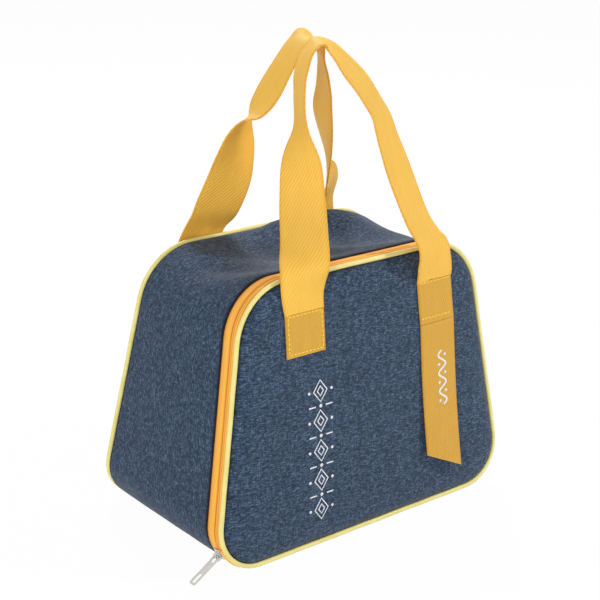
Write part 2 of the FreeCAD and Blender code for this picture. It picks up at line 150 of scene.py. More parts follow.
def add_node(tree: Tree, kind: str, settings: dict | None = None,
             inputs: dict | None = None) -> Node:
    """Add a node with its settings and links.

    Args:
        tree: Node tree to add to.
        kind: Node type, without the ShaderNode that starts it.
        settings: Values of the node's own properties.
        inputs: Input name or index to a number, colour or socket to link.

    Returns:
        The new node.
    """
    node = tree.nodes.new("ShaderNode" + kind)
    for key, value in (settings or {}).items():
        setattr(node, key, value)
    for key, value in (inputs or {}).items():
        if isinstance(value, Socket):
            tree.links.new(value, node.inputs[key])
        else:
            node.inputs[key].default_value = value
    return node


def add_sum(tree: Tree, operation: str, *values: float | Socket,
            clamp: bool = False) -> Socket:
    """Add a math node on numbers or sockets and give its result."""
    settings = {"operation": operation, "use_clamp": clamp}
    return add_node(tree, "Math", settings, dict(enumerate(values))).outputs[0]


def add_mix(tree: Tree, share: Socket, first: Sequence[float] | Socket,
            second: Sequence[float]) -> Socket:
    """Add a mix of two colours and give its result."""
    return add_node(tree, "Mix", {"data_type": "RGBA"}, {0: share, 6: first, 7: second}).outputs[2]


def cloth_place(tree: Tree) -> Socket:
    """Place on the cloth, as each piece's own attribute holds it."""
    return add_node(tree, "Attribute", {"attribute_name": CLOTH}).outputs["Vector"]


def per_mm(*sizes: float) -> tuple[float, ...]:
    """Mapping scale that turns metres into counts of the given sizes in millimetres."""
    return tuple(0.0 if size == 0 else 1 / (size * MM) for size in sizes)


def wave_scale(pitch: float) -> float:
    """Scale of a band wave whose pitch is given in millimetres."""
    return 2 * math.pi / 20 / (pitch * MM)


@dataclass(frozen=True)
class Finish:
    """A surface finish with the values that are the same all over it."""

    name: str
    roughness: float
    metallic: float = 0.0
    sheen: float = 0.0
    specular: float = 0.5
    coat: float = 0.0
    glow: float = 0.0

    def start(self) -> tuple[Material, Tree, Node]:
        """Make the material and set its even values.

        Returns:
            The material, its tree and its shader.
        """
        material = bpy.data.materials.new(self.name)
        material.use_nodes = True
        shader = material.node_tree.nodes["Principled BSDF"]
        values = {
            "Roughness": self.roughness, "Metallic": self.metallic, "Sheen Weight": self.sheen,
            "Specular IOR Level": self.specular, "Coat Weight": self.coat, "Subsurface Weight": self.glow,
            "Subsurface Scale": GLOW_DEPTH * MM, "Subsurface Radius": GLOW_SHARES}
        for key, value in values.items():
            shader.inputs[key].default_value = value
        return material, material.node_tree, shader

    def dress(self, tree: Tree, shader: Node, colour: Socket,
              height: Socket, strength: float, depth: float) -> None:
        """Give the shader its colour and relief.

        Args:
            tree: Node tree of the shader.
            shader: Shader to link to.
            colour: Its colour.
            height: Height of the relief, from 0 to 1.
            strength: Strength of the relief.
            depth: Depth of the relief in millimetres.
        """
        bump = add_node(tree, "Bump", None, {
            "Strength": strength, "Distance": depth * MM, "Height": height})
        tree.links.new(colour, shader.inputs["Base Color"])
        tree.links.new(bump.outputs[0], shader.inputs["Normal"])

    def material(self) -> Material:
        """Make the plain material."""
        return self.start()[0]


@dataclass(frozen=True)
class HeatherCloth(Finish):
    """Two-tone polyester oxford: matt, with pale and dark lengths of thread that give a heather grain.

    The threads are drawn about twice as coarse as the real 0.4 mm, so that they still show.
    """

    dark: str = "#1B2736"
    middle: str = "#2E3E54"
    light: str = "#566B83"
    # Colour of the painted shade in the creases beside the piping and along the walls' seams
    painted_crease_shade: str = "#0A0E16"
    thread: float = 0.55
    slub: float = 3.6
    weft_share: float = 0.66
    limits: tuple[float, float, float] = (0.36, 0.5, 0.66)
    row_step: float = 7.31
    set_step: float = 3.7
    relief: float = 0.3

    def threads(self, tree: Tree, cloth: Socket,
                along: int) -> Socket:
        """Shade of one set of threads, each with its own run of pale and dark lengths.

        Args:
            tree: Node tree to add to.
            cloth: Place on the cloth.
            along: Which of its axes the threads run along.

        Returns:
            A value of about 0.2 to 0.8.
        """
        sizes = (self.slub, self.thread) if along == 0 else (self.thread, self.slub)
        place = add_node(tree, "Mapping", None, {"Vector": cloth, "Scale": per_mm(*sizes, 0)})
        split = add_node(tree, "SeparateXYZ", None, {0: place.outputs[0]})
        row = add_sum(tree, "FLOOR", split.outputs[1 - along])
        apart = add_sum(tree, "MULTIPLY", row, self.row_step)
        spot = add_node(tree, "CombineXYZ", None, {
            0: split.outputs[along], 1: apart, 2: self.set_step * along})
        return add_node(tree, "TexNoise", None, {
            "Vector": spot.outputs[0], "Scale": 1.0, "Detail": 1.0, "Roughness": 0.6}).outputs["Fac"]

    def material(self) -> Material:
        """Make the cloth, whose threads run along and across the piece's own cloth attribute."""
        material, tree, shader = self.start()
        cloth = cloth_place(tree)
        both = add_node(tree, "Mix", None, {
            0: self.weft_share, 2: self.threads(tree, cloth, 1), 3: self.threads(tree, cloth, 0)}).outputs[0]
        colour = linear(self.dark)
        for shade, low, high in zip((self.middle, self.light), self.limits, self.limits[1:]):
            share = add_node(tree, "MapRange", None, {"Value": both, "From Min": low, "From Max": high})
            colour = add_mix(tree, share.outputs[0], colour, linear(shade))
        # The cloth attribute's third value is the share of painted crease shade
        painted_crease_shade = add_node(tree, "SeparateXYZ", None, {0: cloth}).outputs[2]
        self.dress(tree, shader, add_mix(tree, painted_crease_shade, colour, linear(self.painted_crease_shade)), both, 0.6, self.relief)
        return material


@dataclass(frozen=True)
class WovenTape(Finish):
    """Woven narrow tape or webbing: slanting ribs, a denser selvage, a soft sheen and painted shade in its
    grooves.

    The ribs are drawn about half as coarse again as the real ones, so that they still show.
    """

    colour: str = "#F8CE60"
    shade: str = "#DE9F30"
    # Colour of the painted shade in the grooves between ridges and beside the parts next to the tape
    painted_groove_shade: str = "#A9590C"
    rib: float = 2.1
    slant: float = 58.0
    half_width: float = 16.5
    selvage: float = 1.6
    rib_depth: float = 0.3
    cloud: tuple[float, float] = (24.0, 7.0)
    selvage_shade: float = 0.35
    rib_shade: tuple[float, float] = (-0.32, 0.46)
    cloud_shade: float = 0.3

    def material(self) -> Material:
        """Make the tape, whose ribs follow the piece's own cloth attribute."""
        material, tree, shader = self.start()
        cloth = cloth_place(tree)
        turned = add_node(tree, "Mapping", None, {
            "Vector": cloth, "Rotation": (0, 0, math.radians(self.slant)), "Scale": (1, 1, 0)})
        rib = add_node(tree, "TexWave", {"bands_direction": "X"}, {
            "Vector": turned.outputs[0], "Scale": wave_scale(self.rib), "Distortion": 0.35,
            "Detail": 1.0}).outputs["Fac"]
        flat = add_node(tree, "Mapping", None, {"Vector": cloth, "Scale": per_mm(*self.cloud, 0)})
        cloud = add_node(tree, "TexNoise", None, {
            "Vector": flat.outputs[0], "Scale": 1.0, "Detail": 2.0}).outputs["Fac"]
        split = add_node(tree, "SeparateXYZ", None, {0: cloth})
        edge = add_node(tree, "MapRange", None, {
            "Value": add_sum(tree, "ABSOLUTE", split.outputs[1]), "To Max": self.selvage_shade,
            "From Min": (self.half_width - self.selvage) * MM, "From Max": self.half_width * MM})
        depth = add_sum(tree, "MULTIPLY_ADD", rib, *self.rib_shade)
        tint = add_sum(tree, "MULTIPLY_ADD", cloud, self.cloud_shade, depth)
        total = add_sum(tree, "ADD", tint, edge.outputs[0], clamp=True)
        colour = add_mix(tree, total, linear(self.colour), linear(self.shade))
        # Painted groove shade, as much as the cloth attribute's third value asks
        with_painted_groove_shade = add_mix(tree, split.outputs[2], colour, linear(self.painted_groove_shade))
        self.dress(tree, shader, with_painted_groove_shade, rib, 0.6, self.rib_depth)
        return material


@dataclass(frozen=True)
class SpeckledFinish(Finish):
    """Moulded, plated or pressed surface: one colour with faint clouding and a fine relief."""

    colour: str = "#CCCCCC"
    other: str = "#BBBBBB"
    grain: float = 3.0
    relief: float = 0.05

    def material(self) -> Material:
        """Make the finish on object coordinates."""
        material, tree, shader = self.start()
        place = add_node(tree, "TexCoord").outputs["Object"]
        cloud = add_node(tree, "TexNoise", None, {
            "Vector": place, "Scale": 1 / (self.grain * MM), "Detail": 4.0, "Roughness": 0.6})
        fac = cloud.outputs["Fac"]
        spread = add_node(tree, "MapRange", None, {"Value": fac, "From Min": 0.3, "From Max": 0.7})
        colour = add_mix(tree, spread.outputs[0], linear(self.colour), linear(self.other))
        self.dress(tree, shader, colour, fac, 0.5, self.relief)
        return material


@dataclass(frozen=True)
class FoilFilm(SpeckledFinish):
    """Aluminised film over foam: bright, with the soft crinkles that heat sealing leaves."""

    crinkle: float = 9.0

    def material(self) -> Material:
        """Make the film on object coordinates."""
        material, tree, shader = self.start()
        place = add_node(tree, "TexCoord").outputs["Object"]
        fold = add_node(tree, "TexVoronoi", {"feature": "DISTANCE_TO_EDGE"}, {
            "Vector": place, "Scale": 1 / (self.crinkle * MM), "Randomness": 1.0})
        fine = add_node(tree, "TexNoise", None, {
            "Vector": place, "Scale": 1 / (self.grain * MM), "Detail": 5.0, "Roughness": 0.65}).outputs["Fac"]
        both = add_sum(tree, "ADD", fold.outputs["Distance"], fine)
        colour = add_mix(tree, fine, linear(self.colour), linear(self.other))
        self.dress(tree, shader, colour, both, 0.45, self.relief)
        return material


class Finishes:
    """Every material of the bag, made once."""

    def __init__(self) -> None:
        """Make the materials."""
        self.heather = HeatherCloth("heather_polyester_oxford", 0.92, sheen=0.12, specular=0.2).material()
        self.webbing = WovenTape("polypropylene_webbing", 0.6, specular=0.2, glow=0.12).material()
        # Darker copy of the loops' webbing for the sewn ends and the tab, which are the same webbing: painted
        # shade
        self.shade_painted_webbing = WovenTape(
            "sewn_polypropylene_webbing", 0.55, sheen=0.04, specular=0.3, glow=0.1, colour="#D9AC44",
            shade="#C18A26").material()
        self.tape = WovenTape(
            "polyester_zip_tape", 0.75, sheen=0.15, specular=0.3, colour="#FFC44E", shade="#F79E2C",
            rib=1.3, slant=90.0, half_width=40.0, rib_depth=0.15).material()
        self.binding = WovenTape(
            "polyester_seam_binding", 0.85, specular=0.25, colour="#33363D", shade="#1B1D22",
            rib=1.4, slant=0.0, half_width=40.0).material()
        self.piping = SpeckledFinish(
            "pvc_coated_piping", 0.5, specular=0.4, coat=0.1, colour="#EADF92", other="#E0D27A",
            grain=14.0, relief=0.05).material()
        self.foam = SpeckledFinish(
            "polyethylene_foam", 0.9, specular=0.2, colour="#EDEDEA", other="#DADAD6",
            grain=1.2, relief=0.3).material()
        self.coil = SpeckledFinish(
            "nylon_zip_coil", 0.4, specular=0.45, colour="#F0962A", other="#E08318", grain=4.0,
            relief=0.02).material()
        self.plate = SpeckledFinish(
            "nickel_plated_zinc", 0.24, metallic=1.0, colour="#D9D6D0", other="#C8C5BE", grain=2.5,
            relief=0.02).material()
        self.thread = SpeckledFinish(
            "polyester_sewing_thread", 0.6, sheen=0.2, colour="#F5D13F", other="#EBC02A", grain=1.0,
            relief=0.1).material()
        self.ink = SpeckledFinish(
            "screen_print_ink", 0.6, specular=0.35, colour="#F1F2F4", other="#DADDE3", grain=1.1,
            relief=0.06).material()
        self.foil = FoilFilm(
            "aluminised_film", 0.32, metallic=1.0, colour="#DDE0E3", other="#C6CACF", grain=2.2,
            relief=0.5).material()


@dataclass(frozen=True)
class Leg:
    """One arc or straight run of an outline, in X and Z."""

    start: Vector
    end: Vector
    centre: Vector | None
    radius: float
    first: float
    last: float

    @property
    def length(self) -> float:
        """Length along the outer edge."""
        if self.centre is None:
            return (self.end - self.start).length
        return self.radius * abs(self.last - self.first)

    def at(self, share: float, inset: float) -> tuple[Vector, Vector]:
        """Point and outward direction.

        Args:
            share: Place along the leg, from 0 to 1.
            inset: Distance inside the outer edge.

        Returns:
            The point and its outward direction.
        """
        angle = self.first + (self.last - self.first) * share
        outward = Vector((math.cos(angle), 0, math.sin(angle)))
        if self.centre is None:
            return self.start.lerp(self.end, share) - outward * inset, outward
        return self.centre + outward * (self.radius - inset), outward

    def place(self, point: Vector) -> tuple[float, float]:
        """Where a point lies beside this leg.

        Args:
            point: Point in X and Z.

        Returns:
            Its share along the leg and its distance outside the outer edge.
        """
        if self.centre is None:
            run = self.end - self.start
            share = (point - self.start).dot(run) / run.length_squared
            outward = Vector((math.cos(self.first), 0, math.sin(self.first)))
            return share, (point - self.start).dot(outward)
        away = point - self.centre
        angle = math.atan2(away.z, away.x)
        middle = (self.first + self.last) / 2
        angle += 2 * math.pi * round((middle - angle) / (2 * math.pi))
        return (angle - self.first) / (self.last - self.first), away.length - self.radius


class Outline:
    """Rounded trapezium in X and Z, narrow at the top, that the panels and walls follow."""

    def __init__(self, height: float, base_level: float, end_angle: float = 270.0,
                 closed: bool = False) -> None:
        """Lay out the legs from the left foot, over the top, to the right foot.

        Args:
            height: Height over the piping.
            base_level: Level of the lower corners' centres.
            end_angle: Angle in degrees at which the left foot starts.
            closed: Whether the base run is added.
        """
        slope = (BASE_WIDTH - TOP_WIDTH) / 2 / height
        flare = math.atan(slope)
        centres = []
        for level, radius in ((base_level, BASE_CORNER_R), (height - TOP_CORNER_R, TOP_CORNER_R)):
            centres.append(Vector((BASE_WIDTH / 2 - level * slope - radius / math.cos(flare), 0, level)))
        self.base, self.top = centres
        end = math.radians(end_angle)
        half = math.pi / 2
        arcs = (
            (self.base, -1, BASE_CORNER_R, end, math.pi - flare),
            (self.top, -1, TOP_CORNER_R, math.pi - flare, half),
            (self.top, 1, TOP_CORNER_R, half, flare),
            (self.base, 1, BASE_CORNER_R, flare, math.pi - end),
        )
        self.legs: list[Leg] = []
        for centre, sign, radius, first, last in arcs:
            middle = Vector((sign * centre.x, 0, centre.z))
            ends = [middle + Vector((math.cos(a), 0, math.sin(a))) * radius for a in (first, last)]
            if self.legs:
                self.legs.append(Leg(self.legs[-1].end, ends[0], None, 0.0, first, first))
            self.legs.append(Leg(ends[0], ends[1], middle, radius, first, last))
        if closed:
            self.legs.append(Leg(self.legs[-1].end, self.legs[0].start, None, 0.0, -half, -half))

    @property
    def length(self) -> float:
        """Length of the whole run."""
        return sum(leg.length for leg in self.legs)

    def corner_marks(self) -> list[float]:
        """Distances along a closed outline of the middles of its four corners."""
        marks, gone = [], 0.0
        for leg in self.legs:
            if leg.centre is not None:
                marks.append(gone + leg.length / 2)
            gone += leg.length
        return marks

    def at(self, distance: float, inset: float) -> Vector:
        """Point at a distance along the outer edge of a closed outline."""
        rest = distance % self.length
        for leg in self.legs:
            if rest <= leg.length:
                return leg.at(rest / leg.length, inset)[0]
            rest -= leg.length
        return self.legs[-1].at(1.0, inset)[0]

    def place(self, point: Vector) -> tuple[float, float, Vector]:
        """Where a point lies beside the outline.

        Args:
            point: Point whose X and Z are used.

        Returns:
            Distance along, distance outside the outer edge, and the outward direction there.
        """
        flat = Vector((point.x, 0, point.z))
        beside, nearest = None, None
        gone = 0.0
        for leg in self.legs:
            share, outside = leg.place(flat)
            held = min(1.0, max(0.0, share))
            spot, outward = leg.at(held, 0)
            if share == held and (beside is None or outside > beside[1]):
                beside = (gone + held * leg.length, outside, outward)
            away = (flat - spot).length
            if nearest is None or away < nearest[0]:
                nearest = (away, (gone + held * leg.length, (flat - spot).dot(outward), outward))
            gone += leg.length
        return nearest[1] if beside is None else beside


PANEL_LINE = Outline(SLANT, PIPING_LIFT + BASE_CORNER_R, closed=True)
GUSSET_LINE = Outline(HEIGHT, BASE_CORNER_R - PIPING_PROUD, SEAM_ANGLE)


def zip_line(end_angle: float) -> Outline:
    """Outline of the zip band, from an angle on the left foot to the same on the right."""
    return Outline(SLANT, BASE_CORNER_R - PIPING_PROUD, end_angle)


def parts_of(geom: Iterable, kind: type) -> list:
    """Parts of one kind in the result of an operator."""
    return [part for part in geom if isinstance(part, kind)]


def add_line(bm: BMesh, points: Iterable[Sequence[float]], ring: bool) -> tuple[list, list]:
    """Add points joined by edges.

    Args:
        bm: Mesh to add to.
        points: Places of the points.
        ring: Whether the last is joined to the first.

    Returns:
        The points and the edges.
    """
    verts = [bm.verts.new(point) for point in points]
    pairs = list(zip(verts, verts[1:] + verts[:1]))
    return verts, [bm.edges.new(pair) for pair in (pairs if ring else pairs[:-1])]


def draw_on(bm: BMesh, edges: list, move: Sequence[float] = (0, 0, 0)) -> tuple[list, list]:
    """Extrude a line of edges and move the new one.

    Args:
        bm: Mesh that the line is part of.
        edges: Edges of the line.
        move: How far the new line is moved.

    Returns:
        The points and the edges of the new line.
    """
    made = bmesh.ops.extrude_edge_only(bm, edges=edges)["geom"]
    verts = parts_of(made, BMVert)
    bmesh.ops.translate(bm, verts=verts, vec=move)
    fresh = set(verts)
    return verts, [edge for edge in parts_of(made, BMEdge) if fresh.issuperset(edge.verts)]


def close_ends(bm: BMesh) -> None:
    """Fill the open ends of a tube."""
    bmesh.ops.holes_fill(bm, edges=[e for e in bm.edges if e.is_boundary], sides=0)


def thicken(bm: BMesh, thick: float, outward: Callable[[BMFace], float]) -> None:
    """Turn an open sheet to face outwards and make it a closed layer below that face.

    Args:
        bm: Sheet.
        thick: Thickness.
        outward: From a face to how far it points outwards.
    """
    bmesh.ops.recalc_face_normals(bm, faces=bm.faces)
    if sum(outward(face) for face in bm.faces) < 0:
        bmesh.ops.reverse_faces(bm, faces=bm.faces)
    bmesh.ops.solidify(bm, geom=bm.faces[:], thickness=thick)


def sweep(line: Outline, profile: Sequence[tuple[float, float]], pitch: float, ring: bool = True,
          closed: bool = False) -> BMesh:
    """Draw a profile along an outline by spinning it round the corners and extruding it between them.

    Args:
        line: Outline to follow.
        profile: Points of the profile, each a depth and an inset.
        pitch: Length of a step along the outline.
        ring: Whether the profile is closed.
        closed: Whether the run ends where it starts.

    Returns:
        The mesh, with X and the rise in X and Z and the depth in Y.
    """
    bm = bmesh.new()
    spots = [(depth, line.legs[0].at(0.0, inset)[0]) for depth, inset in profile]
    verts, edges = add_line(bm, [(spot.x, depth, spot.z) for depth, spot in spots], ring)
    for leg in line.legs:
        steps = max(2, round(leg.length / pitch))
        if leg.centre is not None:
            made = bmesh.ops.spin(
                bm, geom=verts + edges, cent=leg.centre, axis=(0, -1, 0), angle=leg.last - leg.first,
                steps=steps, use_merge=False, use_duplicate=False)
            verts = parts_of(made["geom_last"], BMVert)
            edges = parts_of(made["geom_last"], BMEdge)
            continue
        for _ in range(steps):
            verts, edges = draw_on(bm, edges, (leg.end - leg.start) / steps)
    if closed:
        bmesh.ops.remove_doubles(bm, verts=bm.verts, dist=0.01)
    elif ring:
        close_ends(bm)
    bm.verts.index_update()
    return bm


def mark_cloth(bm: BMesh, where: Callable[[Vector], tuple[float, float, float]]) -> None:
    """Write each point's place on the cloth.

    Args:
        bm: Mesh to mark, in millimetres.
        where: From a point to its length, width and share of painted shade, in millimetres and 0 to 1.
    """
    layer = bm.verts.layers.float_vector.get(CLOTH) or bm.verts.layers.float_vector.new(CLOTH)
    for vert in bm.verts:
        along, across, painted_crease_shade = where(vert.co)
        vert[layer] = Vector((along * MM, across * MM, painted_crease_shade))


def make_piece(name: str, bm: BMesh, material: Material, body: str | None,
               stands_for: Sequence[str] = (), sharp: float = 40.0,
               turn: bool = True) -> bpy.types.Object:
    """Turn a mesh in millimetres into a finished piece that rides on a body.

    Args:
        name: Name of the piece.
        bm: Mesh in millimetres in the shared frame, freed here.
        material: Its finish.
        body: Body that it rides on, or nothing where it rides on none.
        stands_for: Names of the solids that it replaces.
        sharp: Angle in degrees past which an edge shows sharp.
        turn: Whether to point the faces outwards.

    Returns:
        The new object.
    """
    if turn:
        bmesh.ops.recalc_face_normals(bm, faces=bm.faces)
    bmesh.ops.transform(bm, matrix=Matrix.Scale(MM, 4), verts=bm.verts)
    for face in bm.faces:
        face.smooth = True
    mesh = bpy.data.meshes.new(name)
    bm.to_mesh(mesh)
    bm.free()
    mesh.set_sharp_from_angle(angle=math.radians(sharp))
    mesh.materials.append(material)
    piece = bpy.data.objects.new(name, mesh)
    bpy.context.scene.collection.objects.link(piece)
    if body:
        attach(piece, body)
    if stands_for:
        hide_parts(*stands_for)
    LOG.info("%s: %d faces on %s", name, len(mesh.polygons), body)
    return piece


def ease(value: float) -> float:
    """Smooth step from 0 to 1."""
    held = min(1.0, max(0.0, value))
    return held * held * (3 - 2 * held)


def ripple(x: float, y: float, z: float, size: float) -> float:
    """Smooth unevenness of about -1 to 1, whose lumps are of the given size."""
    return noise.noise(Vector((x / size, y / size, z / size)))


def bell(away: float, reach: float) -> float:
    """Smooth fall from 1 to 0 as a distance passes its reach."""
    return math.exp(-(away / reach) ** 2)


@dataclass
class PaddedPanel:
    """Front or rear panel: heather cloth over foam with a foil lining, crowned by its padding."""

    side: Side
    finishes: Finishes
    crown: float = 5.0
    shoulder: float = 6.5
    bulge: float = 1.2
    lump: float = 55.0
    unevenness: float = 0.4
    middle_rise: float = 0.47
    edge_crowding: float = 1.7
    bead_wobble: tuple[float, float] = (0.25, 24.0)
    tuck: tuple[float, float] = (1.3, 1.7)
    # Most and reach of the painted shade in the crease beside the piping
    seam_shade: tuple[float, float] = (0.9, 1.3)
    lining_share: float = 0.6
    binding_width: float = 9.0
    bead_sides: int = 14
    cells_across: int = 72
    cells_up: int = 60

    def swell(self, x: float, rise: float) -> float:
        """How far the padding pushes the cloth out at a point of the panel."""
        inside = max(0.0, -PANEL_LINE.place(Vector((x, 0, rise)))[1] - CLOTH_EDGE)
        across = min(1.0, abs(x) / (BASE_WIDTH / 2))
        up = min(1.0, abs(rise - SLANT / 2) / (SLANT / 2))
        uneven = 1 + self.unevenness * ripple(x, rise, 7.0 * self.side.value, self.lump)
        form = self.bulge * (1 - across ** 2) * (1 - up ** 2) * uneven
        return (self.crown + form) * (1 - math.exp(-inside / self.shoulder))

    def face_depth(self, x: float, rise: float) -> float:
        """Depth of the cloth's outer face, which tucks in behind the piping."""
        inside = -PANEL_LINE.place(Vector((x, 0, rise)))[1] - CLOTH_EDGE
        most, reach = self.tuck
        tuck = most * bell(max(0.0, inside), reach)
        return PANEL_FACE + tuck - self.swell(x, rise)

    def sheet(self, bm: BMesh, inset: float, depth: Callable[[float, float], float]) -> list:
        """Add one crowned sheet.

        Args:
            bm: Mesh to add to.
            inset: Distance of its edge inside the piping's outer edge.
            depth: From a place on the panel to the sheet's depth.

        Returns:
            The edge loop round the sheet.
        """
        grid = bmesh.ops.create_grid(bm, x_segments=self.cells_across, y_segments=self.cells_up, size=1.0)
        marks = PANEL_LINE.corner_marks()
        marks.append(marks[0] + PANEL_LINE.length)
        middle = Vector((0, 0, SLANT * self.middle_rise))
        for vert in grid["verts"]:
            u, v = vert.co.x, vert.co.y
            level = max(abs(u), abs(v))
            spot = middle
            if level > 1e-6:
                u, v = u / level, v / level
                if abs(u) >= abs(v):
                    side, share = (0, (v + 1) / 2) if u < 0 else (2, (1 - v) / 2)
                else:
                    side, share = (1, (u + 1) / 2) if v > 0 else (3, (1 - u) / 2)
                edge = PANEL_LINE.at(marks[side] + (marks[side + 1] - marks[side]) * share, inset)
                spot = middle.lerp(edge, 1 - (1 - level) ** self.edge_crowding)
            vert.co = Vector((spot.x, depth(spot.x, spot.z), spot.z))
        found = dict.fromkeys(edge for vert in grid["verts"] for edge in vert.link_edges)
        return [edge for edge in found if edge.is_boundary]

    def slab(self, inset: float, outer: Callable[[float, float], float],
             inner: Callable[[float, float], float]) -> BMesh:
        """Closed layer between two crowned sheets, placed on the bag."""
        bm = bmesh.new()
        loops = self.sheet(bm, inset, outer) + self.sheet(bm, inset, inner)
        bmesh.ops.bridge_loops(bm, edges=loops)
        mark_cloth(bm, lambda co: (co.x, co.z, self.painted_crease_shade(co)))
        bmesh.ops.transform(bm, matrix=self.side.matrix, verts=bm.verts)
        return bm

    def painted_crease_shade(self, co: Vector) -> float:
        """Share of the painted shade in the crease beside the piping."""
        inside = -PANEL_LINE.place(co)[1] - CLOTH_EDGE
        most, reach = self.seam_shade
        return most * bell(max(0.0, inside), reach)

    def build(self) -> None:
        """Make the cloth, the foam and the lining."""
        word, body = self.side.word, self.side.body
        foam_face = PANEL_FACE + FABRIC_T
        lining_face = foam_face + FOAM_T

        def inner(depth: float) -> Callable[[float, float], float]:
            """Sheet inside the bag, which follows the crown in part."""
            return lambda x, rise: depth - self.lining_share * self.swell(x, rise)

        cloth = make_piece(
            word + "_panel_cloth",
            self.slab(CLOTH_EDGE, self.face_depth, lambda x, rise: self.face_depth(x, rise) + FABRIC_T),
            self.finishes.heather, body, [word + "_panel_fabric"])
        core = make_piece(
            word + "_panel_padding",
            self.slab(CORE_INSET, lambda x, rise: foam_face + LAYER_GAP - self.swell(x, rise),
                      inner(lining_face)),
            self.finishes.foam, body, [word + "_panel_foam"])
        make_piece(
            word + "_panel_lining",
            self.slab(CORE_INSET, inner(lining_face + LAYER_GAP), inner(lining_face + LINER_T)),
            self.finishes.foil, body, [word + "_panel_liner"])
        self.binding()
        self.piping()

    def binding(self) -> None:
        """Bound edge round the lining."""
        low = PANEL_FACE + FABRIC_T + FOAM_T + LINER_T
        near, far = CORE_INSET, CORE_INSET + self.binding_width
        profile = ((low, near), (low + 0.75, near + 0.3), (low + 1.0, near + 2.0), (low + 1.0, far - 2.0),
                   (low + 0.6, far - 0.3), (low, far))
        bm = sweep(PANEL_LINE, profile, 9.0, closed=True)
        mark_cloth(bm, lambda co: (PANEL_LINE.place(co)[0], co.y, 0.0))
        for vert in bm.verts:
            vert.co.y -= self.lining_share * self.swell(vert.co.x, vert.co.z)
        bmesh.ops.transform(bm, matrix=self.side.matrix, verts=bm.verts)
        make_piece(self.side.word + "_seam_binding", bm, self.finishes.binding, self.side.body,
                   [self.side.word + "_binding"])

    def piping(self) -> None:
        """Round bead in the seam, a little uneven as sewn piping is."""
        profile = []
        for step in range(self.bead_sides):
            angle = 2 * math.pi * step / self.bead_sides
            profile.append((BEAD_SET + BEAD_R * math.cos(angle), BEAD_SET + BEAD_R * math.sin(angle)))
        bm = sweep(PANEL_LINE, profile, 5.0, closed=True)
        most, size = self.bead_wobble
        for vert in bm.verts:
            away = PANEL_LINE.place(vert.co)[2]
            vert.co += away * most * ripple(vert.co.x, 3.0 * self.side.value, vert.co.z, size)
        bmesh.ops.transform(bm, matrix=self.side.matrix, verts=bm.verts)
        make_piece(self.side.word + "_piping_bead", bm, self.finishes.piping, self.side.body,
                   [self.side.word + "_piping"])


def front_y(level: float, depth: float) -> float:
    """Y of the plane a depth behind the front, at a level."""
    return level * math.tan(LEAN) + depth / math.cos(LEAN) - BASE_DEPTH / 2


